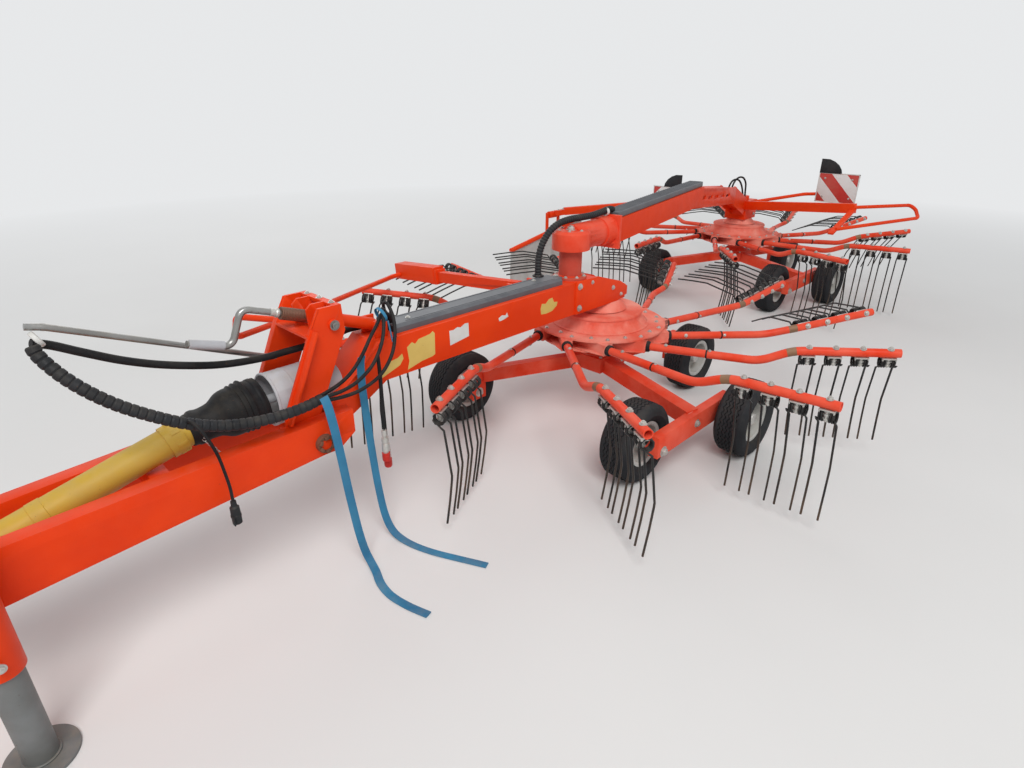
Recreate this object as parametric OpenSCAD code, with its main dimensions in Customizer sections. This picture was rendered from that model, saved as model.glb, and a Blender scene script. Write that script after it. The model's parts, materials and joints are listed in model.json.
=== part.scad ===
// Twin rotor hay rake: drawbar machine with two tined rotors in line, one fixed under the
// main beam and one on a swinging rear beam. Working frame: x to the right of travel, y
// forwards, z up from the ground; shift_x and shift_y then centre the machine on the row frame.

/* [Frame] */
// Shift that centres the machine sideways
shift_x = -350; // [-800:1:800]
// Shift that centres the machine along its length
shift_y = 220; // [-800:1:800]

/* [Beams] */
// Front beam width
beam_w = 180; // [120:1:260]
// Front beam underside height
beam_z0 = 690; // [600:1:800]
// Front beam top height
beam_z1 = 860; // [700:1:1000]
// Front beam front end
beam_y1 = 1650; // [1200:1:1800]
// Rear beam width
rbeam_w = 120; // [80:1:200]
// Rear beam height
rbeam_h = 130; // [80:1:200]
// Drawbar side beam width
bar_w = 60; // [40:1:100]
// Drawbar pivot position along the machine
pivot_y = 1970; // [1800:1:2200]
// Drawbar pivot height
pivot_z = 580; // [450:1:700]

/* [Rotors] */
// Front rotor axis along the machine
fy = 80; // [0:1:200]
// Rear rotor axis sideways
rx = 700; // [400:1:1000]
// Rear rotor axis along the machine
ry = -3080; // [-3400:1:-2900]
// Arm tube height
arm_z = 520; // [480:1:600]
// Sideways offset of the arm tubes from the radius
arm_off = 222; // [150:1:300]
// Arm tube radius
arm_r = 21; // [15:1:30]
// Sleeve end radius along the arm
sleeve_u = 325; // [250:1:400]
// Step position along the arm
step_u = 895; // [800:1:1000]
// Length of the step along the arm
step_l = 150; // [100:1:200]
// Height of the step
step_h = 64; // [40:1:100]
// Sideways offset of the step
step_w = 34; // [0:1:60]
// Sideways offset of the arm's tip
tip_w = 124; // [80:1:180]
// Arm tip along the arm
tip_u = 1500; // [1300:1:1650]
// Hub plate radius
plate_r = 372; // [300:1:450]
// Rotor drum radius
drum_r = 235; // [180:1:300]
// Column radius through the rotor
column_r = 45; // [30:1:60]
// Tine wire radius
wire_r = 4.75; // [3:0.05:6]
// Tine coil radius
coil_r = 23; // [15:1:30]

/* [Wheels] */
// Tyre outer radius
tyre_r = 205; // [180:1:240]
// Tyre width
tyre_w = 164; // [120:1:220]
// Rim radius
rim_r = 105; // [90:1:120]
// Stub axle radius
axle_r = 12.5; // [8:0.5:20]
// Running clearance of an axle in its hub
run_gap = 0.06; // [0.01:0.01:0.1]

/* [Hitch] */
// Lower link pin radius
pin_r = 14; // [11:0.5:18]
// Lower link pins, shoulder to shoulder
pin_span = 825; // [683:1:965]
// Power shaft bore radius
pto_r = 17.5; // [15:0.1:22]
// Power shaft guard tube radius
guard_tube_r = 50; // [40:1:60]

/* [Hidden] */
$fn = 32;
ORANGE = [0.86, 0.20, 0.06];
BLACK = [0.07, 0.07, 0.08];
GREY = [0.55, 0.56, 0.57];
ZINC = [0.72, 0.72, 0.70];
WHITE = [0.86, 0.86, 0.84];
YELLOW = [0.80, 0.64, 0.10];

// wheels of a chassis around its rotor axis: sideways, forwards
wheel_x = 0;
wheel_y = 1;
wheels = [[480, 660], [-620, 500], [-890, -110], [-240, -680]];

// arms: direction in degrees from the right of travel, roll of the cam, lift of the arm and
// sideways play in its sleeve, all in degrees
arm_dir = 0;
arm_roll = 1;
arm_lift = 2;
arm_play = 3;
arms_f = [[37.3, 40, -1.6, -2.5], [70.0, 8, 0.5, 0], [102.7, 0, 1.0, 3.0], [135.5, 0, 1.9, 2.5],
    [168.2, 0, 1.9, 2.0], [200.9, 12, 1.5, -2.0], [233.6, 72, -1.4, -3.5], [266.4, 92, -3.2, -3.5],
    [299.1, 96, -3.8, -3.5], [331.8, 94, -3.6, -1.5], [4.6, 88, -2.8, -0.5]];
arms_r = [[20.9, 50, -1.8, 0], [53.6, 20, 0.5, 0], [86.4, 0, 1, 0.5], [119.1, 0, 1, 0], [151.8, 0, 0.5, 0],
    [184.5, 0, 0, 0], [217.3, 40, -1.4, 0], [250.0, 75, -2.2, 0], [282.7, 90, -3, 0], [315.5, 90, -3, 0],
    [348.2, 85, -3, 0]];
// top of the rotor's drum
drum_top = arm_z + 116;
// clamp positions along an arm
clamps = [1110, 1225, 1340, 1455];

function len3(v) = sqrt(v[0] * v[0] + v[1] * v[1] + v[2] * v[2]);
function unit(v) = v / len3(v);

// a box from one corner to the other
module bx(a, b) {
    translate([min(a[0], b[0]), min(a[1], b[1]), min(a[2], b[2])])
        cube([abs(b[0] - a[0]), abs(b[1] - a[1]), abs(b[2] - a[2])]);
}

// turns +Z from point p towards point q
module aim(p, q) {
    d = q - p;
    translate(p) rotate([0, acos(d[2] / len3(d)), atan2(d[1], d[0])]) children();
}

module rod(p, q, r) {
    aim(p, q) cylinder(h = len3(q - p), r = r);
}

module pipe(p, q, r, t) {
    aim(p, q) difference() {
        cylinder(h = len3(q - p), r = r);
        translate([0, 0, -1]) cylinder(h = len3(q - p) + 2, r = r - t);
    }
}

// a square bar from p to q: w sideways, h upright
module bar(p, q, w, h) {
    aim(p, q) translate([-h / 2, -w / 2, 0]) cube([h, w, len3(q - p)]);
}

// how far a bend of radius br takes from the tube on each side of point i
function turn_half(pts, i) = acos(unit(pts[i] - pts[i - 1]) * unit(pts[i + 1] - pts[i])) / 2;
function trim(pts, i, br) = i == 0 || i == len(pts) - 1 ? 0 : br * tan(turn_half(pts, i)) - 3;

// a round tube of radius r through a list of points, bent to radius br at each
module run(pts, r, br) {
    for (i = [0 : len(pts) - 2]) {
        d = unit(pts[i + 1] - pts[i]);
        rod(pts[i] + d * trim(pts, i, br), pts[i + 1] - d * trim(pts, i + 1, br), r);
    }
    for (i = [1 : len(pts) - 2]) {
        d1 = unit(pts[i] - pts[i - 1]);
        d2 = unit(pts[i + 1] - pts[i]);
        n = unit(cross(d1, d2));
        h = turn_half(pts, i);
        c = pts[i] + unit(d2 - d1) * br / cos(h);
        v = pts[i] - d1 * br * tan(h) - c;
        a = atan2(n[1], n[0]);
        b = acos(n[2]);
        phi = atan2(v * [-sin(a), cos(a), 0], v * [cos(a) * cos(b), sin(a) * cos(b), -sin(b)]);
        translate(c) rotate([0, b, a]) rotate([0, 0, phi]) rotate_extrude(angle = 2 * h)
            translate([br, 0]) circle(r = r + 0.7, $fn = 24);
    }
}

// a side profile in y and z, as a plate between two x values
module side(pts, x0, x1) {
    translate([x0, 0, 0]) rotate([90, 0, 90]) linear_extrude(x1 - x0) polygon(pts);
}

module shift() {
    translate([shift_x, shift_y, 0]) children();
}

module at_f() {
    translate([0, fy, 0]) children();
}

module at_r() {
    translate([rx, ry, 0]) children();
}

// ROTOR
module hub_shape(arms) {
    difference() {
        union() {
            translate([0, 0, arm_z + 30]) cylinder(h = 8, r = plate_r, $fn = 64);
            translate([0, 0, arm_z - 38]) cylinder(h = 8, r = plate_r - 20, $fn = 64);
            translate([0, 0, arm_z + 38]) cylinder(h = 44, r1 = drum_r + 40, r2 = drum_r, $fn = 64);
            translate([0, 0, arm_z + 82]) cylinder(h = drum_top - arm_z - 82, r = drum_r, $fn = 64);
            translate([0, 0, arm_z - 38]) cylinder(h = 80, r = 150);
            for (a = arms) {
                rotate([0, 0, a[arm_dir]]) bx([-150, -arm_off - 30, arm_z - 30],
                    [sleeve_u, -arm_off + 30, arm_z + 30]);
            }
        }
        translate([0, 0, arm_z - 60]) cylinder(h = 300, r = column_r + run_gap);
    }
}

// one arm along +X at its offset, rolled by the cam
module arm_shape() {
    rod([sleeve_u - 20, 0, 0], [step_u, 0, 0], arm_r);
    translate([step_u, 0, 0]) sphere(r = arm_r + 1.5, $fn = 16);
    rod([step_u, 0, 0], [step_u + step_l, step_w, step_h], arm_r);
    translate([step_u + step_l, step_w, step_h]) sphere(r = arm_r + 1.5, $fn = 16);
    pipe([step_u + step_l, step_w, step_h], [tip_u, tip_w, step_h], arm_r, 4);
}

// the outer tube's length, its angle and a point on it
out_l = tip_u - step_u - step_l;
out_a = atan2(tip_w - step_w, out_l);
// height of a coil's middle below the arm, clear of the tube
coil_z = -arm_r - coil_r - 2;
function bar_at(u) = [u, step_w + (tip_w - step_w) * (u - step_u - step_l) / out_l, step_h];

module tine_shape() {
    for (s = [-1, 1]) {
        translate([s * 21 - 13, 8, coil_z]) rotate([0, 90, 0]) cylinder(h = 26, r = coil_r, $fn = 24);
        side([[27 - wire_r, coil_z], [27 + wire_r, coil_z], [58 + wire_r, coil_z - 254],
            [28 + wire_r, coil_z - 506], [28 - wire_r, coil_z - 506], [58 - wire_r, coil_z - 254]],
            s * 30 - wire_r, s * 30 + wire_r);
    }
    rod([-20, 8, coil_z], [20, 8, coil_z], 8, $fn = 16);
}

module clamp_shape() {
    difference() {
        bx([-7, -arm_r - 6, coil_z - 14], [7, arm_r + 6, arm_r + 9]);
        rotate([0, 90, 0]) translate([0, 0, -30]) cylinder(h = 60, r = arm_r);
        rod([-40, 8, coil_z], [40, 8, coil_z], 8, $fn = 16);
    }
    translate([0, 0, arm_r + 9]) cylinder(h = 12, r = 13, $fn = 6);
}

module on_arms(arms) {
    for (a = arms) {
        rotate([0, 0, a[arm_dir]]) translate([sleeve_u, -arm_off, arm_z])
            rotate([0, -a[arm_lift], a[arm_play]]) rotate([a[arm_roll], 0, 0])
                translate([-sleeve_u, 0, 0]) children();
    }
}

module on_clamps(arms) {
    on_arms(arms) for (u = clamps) {
        translate(bar_at(u)) rotate([0, 0, out_a]) children();
    }
}

module rotor_f_hub() {
    color(ORANGE) shift() at_f() hub_shape(arms_f);
}

module rotor_f_arms() {
    color(ORANGE) shift() at_f() on_arms(arms_f) arm_shape();
}

module rotor_f_tines() {
    color(BLACK) shift() at_f() on_clamps(arms_f) tine_shape();
}

module rotor_f_clamps() {
    color(ZINC) shift() at_f() on_clamps(arms_f) clamp_shape();
}

module rotor_r_hub() {
    color(ORANGE) shift() at_r() hub_shape(arms_r);
}

module rotor_r_arms() {
    color(ORANGE) shift() at_r() on_arms(arms_r) arm_shape();
}

module rotor_r_tines() {
    color(BLACK) shift() at_r() on_clamps(arms_r) tine_shape();
}

module rotor_r_clamps() {
    color(ZINC) shift() at_r() on_clamps(arms_r) clamp_shape();
}

// WHEELS
tyre_pts = [[105.3, -52], [118, -56], [126, -70], [150, -82], [184, -78], [200, -62], [205, -36],
    [205, 36], [200, 62], [184, 78], [150, 82], [126, 70], [118, 56], [105.3, 52]];
rim_pts = [[105, -62], [117, -62], [117, -57.5], [105, -54], [105, 54], [117, 57.5], [117, 62],
    [105, 62], [97, 58], [97, 12], [60, 20], [34, 20], [34, 52], [axle_r + run_gap, 52],
    [axle_r + run_gap, -40], [34, -40], [34, 12], [58, 12], [97, 2], [97, -58]];

module tyre_shape() {
    rotate([0, 90, 0]) rotate_extrude($fn = 26) polygon(tyre_pts);
}

module rim_shape() {
    rotate([0, 90, 0]) rotate_extrude($fn = 32) polygon(rim_pts);
}

module at_wheel(i) {
    translate([wheels[i][wheel_x], wheels[i][wheel_y], tyre_r]) children();
}

module tyre_f1() { color(BLACK) shift() at_f() at_wheel(0) tyre_shape(); }
module tyre_f2() { color(BLACK) shift() at_f() at_wheel(1) tyre_shape(); }
module tyre_f3() { color(BLACK) shift() at_f() at_wheel(2) tyre_shape(); }
module tyre_f4() { color(BLACK) shift() at_f() at_wheel(3) tyre_shape(); }
module tyre_r1() { color(BLACK) shift() at_r() at_wheel(0) tyre_shape(); }
module tyre_r2() { color(BLACK) shift() at_r() at_wheel(1) tyre_shape(); }
module tyre_r3() { color(BLACK) shift() at_r() at_wheel(2) tyre_shape(); }
module tyre_r4() { color(BLACK) shift() at_r() at_wheel(3) tyre_shape(); }
module rim_f1() { color(WHITE) shift() at_f() at_wheel(0) rim_shape(); }
module rim_f2() { color(WHITE) shift() at_f() at_wheel(1) rim_shape(); }
module rim_f3() { color(WHITE) shift() at_f() at_wheel(2) rim_shape(); }
module rim_f4() { color(WHITE) shift() at_f() at_wheel(3) rim_shape(); }
module rim_r1() { color(WHITE) shift() at_r() at_wheel(0) rim_shape(); }
module rim_r2() { color(WHITE) shift() at_r() at_wheel(1) rim_shape(); }
module rim_r3() { color(WHITE) shift() at_r() at_wheel(2) rim_shape(); }
module rim_r4() { color(WHITE) shift() at_r() at_wheel(3) rim_shape(); }

// CHASSIS
// a stub axle into wheel i from the side s (-1 left, 1 right) of the wheel
module stub(i, s) {
    w = wheels[i];
    x0 = w[wheel_x] + s * 110;
    rod([x0, w[wheel_y], tyre_r], [w[wheel_x] + (s > 0 ? -36 : 48), w[wheel_y], tyre_r], axle_r);
    rod([x0 + s * 4, w[wheel_y], tyre_r], [w[wheel_x] + (s > 0 ? 58 : -46), w[wheel_y], tyre_r], 24);
}

module chassis_shape(top) {
    // tandem beam on the left between its inner and outer wheels
    bx([-780, -160, 182], [-730, 550, 292]);
    stub(1, -1);
    stub(2, 1);
    bar([-40, 40, 335], [-745, 195, 262], 80, 80);
    // front right wheel
    bar([20, 60, 335], [342, 620, 300], 60, 76);
    bx([328, 610, 165], [370, 712, 338]);
    stub(0, -1);
    // rear wheel
    bar([-15, 0, 335], [-106, -660, 300], 60, 76);
    bx([-132, -712, 165], [-82, -610, 338]);
    stub(3, 1);
    // pedestal
    bx([-120, -110, 290], [120, 130, 375]);
    translate([0, 0, 375]) cylinder(h = top - 397, r1 = 118, r2 = 80);
    for (a = [45 : 90 : 315]) {
        rotate([0, 0, a]) bx([60, -6, 370], [118, 6, top - 32]);
    }
    translate([0, 0, top - 24]) cylinder(h = 24, r = 74);
}

module column_shape(low) {
    translate([0, 0, low]) cylinder(h = 662 - low, r = column_r);
    translate([0, 0, drum_top + 6]) cylinder(h = beam_z0 - drum_top - 6, r1 = 150, r2 = 105);
}

module chassis_f() {
    color(ORANGE) shift() at_f() chassis_shape(462);
}

module chassis_r() {
    color(ORANGE) shift() at_r() {
        chassis_shape(428);
        // spigot that steers in the column
        translate([0, 0, 420]) cylinder(h = 46, r = 30);
    }
}

// FRONT FRAME
module gearbox_f() {
    color(ORANGE) shift() at_f() column_shape(462);
}

module beam_f() {
    color(ORANGE) shift() {
        difference() {
            side([[250, beam_z0], [beam_y1 - 30, beam_z0], [beam_y1 + 40, beam_z0 - 40], [1880, 548],
                [1990, 530], [2010, 600], [1960, 618], [1740, 770], [beam_y1, beam_z1], [250, beam_z1]],
                -beam_w / 2, beam_w / 2);
            side([[1660, 480], [1660, 640], [1930, 560], [1930, 480]], -beam_w / 2 + 12, beam_w / 2 - 12);
            rod([-120, pivot_y, pivot_z], [120, pivot_y, pivot_z], 30);
        }
        // tapered cheeks over the rotor head
        for (s = [-1, 1]) {
            x0 = s > 0 ? beam_w / 2 - 2 : -beam_w / 2 - 10;
            side([[430, beam_z0], [430, beam_z1 + 4], [250, beam_z1 + 4], [40, beam_z1 - 60],
                [-30, 760], [-30, 712], [60, beam_z0]], x0, x0 + 12);
        }
        bx([-beam_w / 2, -25, beam_z0], [beam_w / 2, 260, 770]);
        difference() {
            rod([-106, pivot_y, pivot_z], [106, pivot_y, pivot_z], 48);
            rod([-120, pivot_y, pivot_z], [120, pivot_y, pivot_z], 22 + run_gap);
        }
    }
}

module cover_f() {
    color(BLACK) shift() bx([-60, 500, beam_z1], [60, 1535, beam_z1 + 34]);
}

module shaft_can() {
    color(GREY) shift() {
        difference() {
            rod([0, 1880, 730], [0, 2075, 730], 98);
            rod([0, 1960, 730], [0, 2080, 730], 92);
            rod([0, 2000, 730], [-120, 2000, 790], 13);
        }
        rod([0, 1800, 730], [0, 1900, 730], 62);
        rod([0, 1950, 730], [0, 2110, 730], pto_r);
    }
}

module post() {
    color(ORANGE) shift() {
        translate([0, 370, beam_z1]) cylinder(h = 148, r = 60);
        translate([0, 370, beam_z1]) cylinder(h = 18, r = 88);
        translate([0, 370, beam_z1 + 100]) cylinder(h = 125, r = 40);
    }
}

// guard of the front rotor, on the right
module guard_f() {
    color(ORANGE) shift() {
        difference() {
            union() {
                bar([150, 600, 826], [850, 600, 760], 48, 60);
                rod([134, 548, 828], [134, 652, 828], 28);
            }
            rod([134, 530, 828], [134, 670, 828], 12 + run_gap);
        }
        // open sleeve at the end of the bar
        difference() {
            bar([820, 600, 772], [1200, 600, 736], 84, 94);
            bar([835, 600, 770.6], [1210, 600, 735], 72, 82);
        }
        bar([800, 600, 765], [850, 600, 760], 76, 86);
        run([[1160, 600, 722], [1160, 700, 716], [760, 1440, 766], [610, 1920, 770], [540, 1925, 885],
            [290, 1770, 885], [300, 1740, 775], [750, 1420, 765]], 14, 45);
    }
}

module brackets_f() {
    color(ORANGE) shift() {
        for (y = [514, 668]) {
            bx([beam_w / 2, y, 780], [beam_w / 2 + 74, y + 18, beam_z1]);
        }
        rod([134, 520, 828], [134, 680, 828], 12);
        for (x = [-52, 40]) {
            bx([x, 1570, beam_z1], [x + 12, 1630, 930]);
        }
    }
}

// DRAWBAR
module drawbar() {
    color(ORANGE) shift() {
        for (s = [-1, 1]) {
            translate([s * 150, pivot_y, 0]) rotate([0, 0, s * 1.7])
                side([[-130, pivot_z], [-130, 672], [1980, 590], [1980, 420], [1000, 448],
                    [0, 530], [-60, 530]], -bar_w / 2, bar_w / 2);
        }
        bx([-92, 3900, 430], [92, 3990, 580]);
        bar([-125, 2480, 578], [125, 2480, 578], 60, 70);
        bar([-118, 2950, 470], [118, 2950, 470], 60, 44);
        // pivot pin
        rod([-196, pivot_y, pivot_z], [-118, pivot_y, pivot_z], 34);
        rod([118, pivot_y, pivot_z], [196, pivot_y, pivot_z], 34);
        rod([-190, pivot_y, pivot_z], [190, pivot_y, pivot_z], 22);
        // rest for the power shaft
        bx([-96, 3380, 361], [96, 3420, 380]);
        for (s = [-1, 1]) {
            bx([s * 84, 3380, 361], [s * 97, 3420, 520]);
        }
        // headstock pivot
        translate([0, 4030, 400]) difference() {
            union() {
                cylinder(h = 200, r = 45);
                bx([-40, -80, 10], [40, -20, 190]);
            }
            translate([0, 0, -1]) cylinder(h = 202, r = 20 + run_gap);
        }
        // jack sleeve
        translate([-262, 3000, 345]) difference() {
            cylinder(h = 425, r = 54);
            translate([0, 0, -1]) cylinder(h = 405, r = 44 + run_gap);
        }
        difference() {
            bx([-240, 2950, 470], [-140, 3050, 590]);
            translate([-262, 3000, 400]) cylinder(h = 250, r = 50);
        }
    }
}

module tower() {
    leg = [[1962, 618], [2078, 640], [2072, 700], [1930, 1000], [1896, 1058], [1806, 1058], [1800, 960]];
    fin = [[1806, 955], [1900, 955], [1906, 1040], [1886, 1058], [1806, 1058]];
    color(ORANGE) shift() {
        for (s = [-1, 1]) {
            // outer leg with its flange
            side(leg, s * 118 - 6, s * 118 + 6);
            bar([s * 136, 2069, 672], [s * 136, 1925, 985], 36, 10);
            bx([s * 121, 1917, 600], [s * 160, 2007, 640]);
            side(fin, s * 50 - 5, s * 50 + 5);
            rod([s * 135, 1846, 990], [s * 44, 1846, 990], 20);
        }
        bar([-120, 1916, 962], [120, 1916, 962], 66, 12);
        bx([-120, 1806, 1046], [120, 1836, 1058]);
        rod([-100, 1846, 990], [100, 1846, 990], 14);
    }
}

module headstock() {
    color(ORANGE) shift() {
        for (z = [[330, 394], [606, 640]]) {
            bx([-60, 3975, z[0]], [60, 4160, z[1]]);
        }
        bx([-60, 4085, 330], [60, 4160, 640]);
        bx([-pin_span / 2, 4085, 430], [pin_span / 2, 4165, 530]);
        rod([-pin_span / 2 - 90, 4125, 480], [-pin_span / 2 + 40, 4125, 480], pin_r);
        rod([pin_span / 2 - 40, 4125, 481], [pin_span / 2 + 90, 4125, 481], pin_r);
        translate([0, 4030, 350]) cylinder(h = 270, r = 20);
    }
}

module jack_leg() {
    color(GREY) shift() {
        translate([-262, 3000, 8]) cylinder(h = 420, r = 44);
        translate([-262, 3000, 0]) cylinder(h = 10, r = 95);
    }
}

module spindle() {
    color(ORANGE) shift() {
        difference() {
            union() {
                rod([-36, 1846, 990], [36, 1846, 990], 32);
                rod([0, 1840, 988], [0, 1606, 905], 24);
                rod([0, 1846, 989.7], [0, 1976, 1034.2], 22);
            }
            rod([-50, 1846, 990], [50, 1846, 990], 14 + run_gap);
            rod([0, 1938, 1021.2], [0, 1990, 1039], 12 + run_gap);
        }
        rod([-30, 1600, 903], [30, 1600, 903], 20);
    }
}

module crank() {
    color(GREY) shift() {
        run([[0, 1943, 1022.9], [0, 2110, 1080], [0, 2160, 960], [0, 2300, 1005]], 12, 30);
    }
}

function pto(y) = [0, y, 718 - 0.26 * (y - 2330)];

module power_shaft() {
    color(YELLOW) shift() {
        difference() {
            union() {
                rod(pto(2330), pto(3440), guard_tube_r);
                rod(pto(2400), pto(2430), guard_tube_r + 6);
                rod(pto(3380), pto(3440), guard_tube_r + 5);
            }
            rod(pto(3400), pto(3450), 30);
        }
    }
}

module bellows() {
    // the boot from its narrow end, height and radius, with its three folds
    boot = [[0, 54], [22, 57], [26, 62], [40, 62], [60, 58], [100, 64], [112, 76], [128, 82], [144, 78],
        [152, 84], [168, 90], [184, 86], [192, 91], [208, 96], [226, 90], [262, 84], [262, 74], [200, 70],
        [130, 60], [60, 50], [0, 48]];
    color(BLACK) shift() aim(pto(2360), [0, 2080, 742]) rotate_extrude()
        polygon([for (p = boot) [p[1], p[0]]]);
}

module yoke() {
    color(GREY) shift() {
        difference() {
            rod(pto(3360), pto(3520), 27);
            rod(pto(3440), pto(3530), pto_r);
        }
    }
}

module hose_rod() {
    color(GREY) shift() run([[128, 1945, 820], [110, 2010, 850], [0, 2650, 1150], [0, 2690, 1160]], 10, 40);
}

// HOSES AND STRAPS
// routes, point by point, in the working frame
bundle_route = [[-30, 2690, 1112], [-40, 2686, 1090], [-60, 2672, 1060], [-88, 2645, 1018], [-115, 2604, 970],
    [-138, 2550, 920], [-155, 2480, 868], [-168, 2400, 818], [-180, 2310, 780], [-190, 2220, 760],
    [-196, 2130, 752], [-200, 2040, 754], [-200, 1965, 764]];
fan_routes = [
    [[-190, 1967, 770], [-184, 1890, 786], [-165, 1820, 808], [-136, 1750, 848], [-108, 1690, 896], [-84, 1640, 930],
        [-60, 1604, 954], [-46, 1574, 954], [-40, 1548, 934], [-38, 1532, 906], [-38, 1527, 880]],
    [[-206, 1967, 768], [-202, 1880, 768], [-186, 1800, 780], [-160, 1720, 812], [-134, 1660, 868], [-104, 1622, 926],
        [-66, 1598, 970], [-34, 1576, 968], [-18, 1550, 944], [-13, 1532, 910], [-13, 1526, 880]],
    [[-200, 1967, 753], [-200, 1870, 742], [-192, 1790, 744], [-172, 1700, 764], [-150, 1630, 816], [-126, 1590, 880],
        [-96, 1570, 944], [-52, 1562, 988], [-8, 1552, 980], [8, 1538, 936], [11, 1528, 884]]];
top_routes = [
    [[28, 2684, 1104], [36, 2640, 1084], [46, 2570, 1040], [55, 2470, 982], [60, 2350, 930], [60, 2200, 886],
        [57, 2060, 868], [54, 1940, 868], [54, 1850, 868], [58, 1760, 872], [68, 1690, 882], [76, 1620, 878],
        [77, 1540, 872.5], [77, 1440, 872.5]]];
drop_routes = [
    [[-147, 1690, 832], [-138, 1682, 780], [-128, 1676, 700], [-124, 1674, 640], [-122, 1672, 560], [-122, 1672, 470]],
    [[-170, 1702, 758], [-164, 1700, 690], [-152, 1698, 610], [-150, 1696, 570], [-150, 1696, 520]]];
lead_route = [[-184, 2400, 828], [-200, 2398, 836], [-220, 2390, 826], [-235, 2378, 798], [-242, 2366, 760],
    [-243, 2354, 710], [-242, 2346, 650], [-240, 2340, 590], [-240, 2340, 540]];
strap_routes = [
    [[-217, 1968, 776], [-228, 1962, 740], [-232, 1950, 640], [-231, 1938, 520], [-230, 1928, 400],
        [-229, 1916, 280], [-228, 1902, 160], [-232, 1888, 70], [-250, 1880, 22], [-300, 1890, 6],
        [-370, 1915, 3], [-450, 1925, 3], [-540, 1912, 3], [-630, 1886, 3]],
    [[-133, 1751, 842], [-118, 1750, 800], [-110, 1748, 700], [-112, 1744, 560], [-116, 1738, 400],
        [-122, 1730, 240], [-134, 1720, 110], [-160, 1708, 36], [-210, 1696, 8], [-290, 1680, 3],
        [-380, 1650, 3], [-480, 1604, 3], [-589, 1553, 3]]];
rear_route = [[56, 560, 900], [57, 560, 940], [58, 556, 985], [57, 542, 1035], [54, 514, 1082], [48, 474, 1122],
    [40, 420, 1148], [30, 350, 1160], [20, 270, 1162], [14, 200, 1163], [14, 140, 1167], [17, 85, 1172],
    [21, 40, 1176], [24, 8, 1175], [26, -16, 1170]];
head_routes = [
    [[650, -2700, 882], [654, -2718, 950], [656, -2745, 1020], [650, -2785, 1068], [640, -2840, 1085],
        [632, -2900, 1070], [630, -2950, 1020], [640, -2985, 950], [646, -3010, 863]],
    [[680, -2700, 882], [682, -2712, 950], [684, -2735, 1010], [684, -2780, 1050], [680, -2840, 1062],
        [672, -2900, 1046], [668, -2950, 1000], [666, -2985, 940], [664, -3010, 863]]];

// a tube swept along a route; its section is wide by high, wide towards the vector ref
module sweep(p, wide, high, ref = [1, 0, 0.1], sides = 8) {
    last = len(p) - 1;
    rings = [for (i = [0 : last])
        let (t = unit(p[min(i + 1, last)] - p[max(i - 1, 0)]), s = unit(ref - t * (ref * t)), u = cross(t, s))
        for (k = [0 : sides - 1])
            let (a = 360 * (k + 0.5) / sides) p[i] + s * cos(a) * wide / 2 + u * sin(a) * high / 2];
    walls = [for (i = [0 : last - 1], k = [0 : sides - 1])
        let (a = i * sides + k, b = i * sides + (k + 1) % sides)
        each [[a, a + sides, b], [b, a + sides, b + sides]]];
    polyhedron(points = rings, faces = concat(walls, [[for (k = [0 : sides - 1]) k]],
        [[for (k = [sides - 1 : -1 : 0]) last * sides + k]]));
}

module hose_bundle() {
    color(BLACK) shift() sweep(bundle_route, 38, 38);
}

module hose_fan() {
    color(BLACK) shift() {
        for (p = fan_routes) sweep(p, 14, 14);
        for (p = top_routes) sweep(p, 26, 26);
    }
}

module drop_hoses() {
    color(BLACK) shift() for (p = drop_routes) {
        low = p[len(p) - 1];
        sweep(p, 15, 15);
        // coupling with its cap
        translate([low[0], low[1], low[2] - 110.3]) cylinder(h = 110, r = 15);
        translate([low[0], low[1], low[2] - 160]) cylinder(h = 52, r = 17);
    }
}

module lead() {
    low = lead_route[len(lead_route) - 1];
    color(BLACK) shift() {
        sweep(lead_route, 10, 10, [0, 1, 0]);
        translate([low[0], low[1], low[2] - 85.3]) cylinder(h = 85, r = 17);
    }
}

module straps() {
    color("steelblue") shift() for (p = strap_routes) sweep(p, 36, 5, [0, 1, 0]);
}

module rear_hoses() {
    color(BLACK) shift() {
        sweep(rear_route, 36, 36);
        for (p = head_routes) sweep(p, 16, 16);
    }
}

// REAR FRAME
module swivel() {
    color(ORANGE) shift() {
        difference() {
            union() {
                translate([0, 370, 1016]) cylinder(h = 84, r = 100);
                translate([0, 370, 1100]) cylinder(h = 14, r1 = 100, r2 = 84);
                rod([0, 370, 1068], [21, 30, 1068], 70);
                rod([15, 130, 1068], [21, 30, 1068], 78);
            }
            translate([0, 370, 1000]) cylinder(h = 95, r = 40 + run_gap);
            translate([0, 370, 980]) cylinder(h = 35.5, r = 68);
        }
        bar([20.5, 44, 1062], [22.5, 22, 1062], 170, 180);
        for (x = [-50, 50], z = [-58, 58]) {
            rod([20 + x, 56, 1062 + z], [20 + x, 40, 1062 + z], 11, $fn = 6);
        }
    }
}

module beam_r() {
    color(ORANGE) shift() {
        difference() {
            union() {
                bar([20, 30, 1062], [300, -1420, 1090], rbeam_w, rbeam_h);
                for (s = [-1, 1]) {
                    bar([300 + s * 66, -1300, 1082], [600 + s * 66, -2560, 960], 12, 140);
                    bar([600 + s * 66, -2520, 966], [690 + s * 66, -3000, 800], 12, 150);
                }
                bar([296, -1400, 1140], [500, -2200, 1060], 120, 12);
                bar([590, -2500, 930], [690, -3000, 778], 120, 12);
                bx([600, -3190, beam_z0], [800, -2960, 860]);
                translate([700, -3080, 850]) cylinder(h = 44, r = 60);
            }
            // slots and holes in the side plates
            for (k = [0 : 4]) {
                translate([330 + k * 45, -1500 - k * 190, 1064 - k * 18]) rotate([0, 0, -76])
                    bx([-60, -200, -12], [60, 200, 12]);
            }
        }
    }
}

module cover_r() {
    color(BLACK) shift() bar([26, 0, 1145], [300, -1416, 1172], 100, 34);
}

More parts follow.
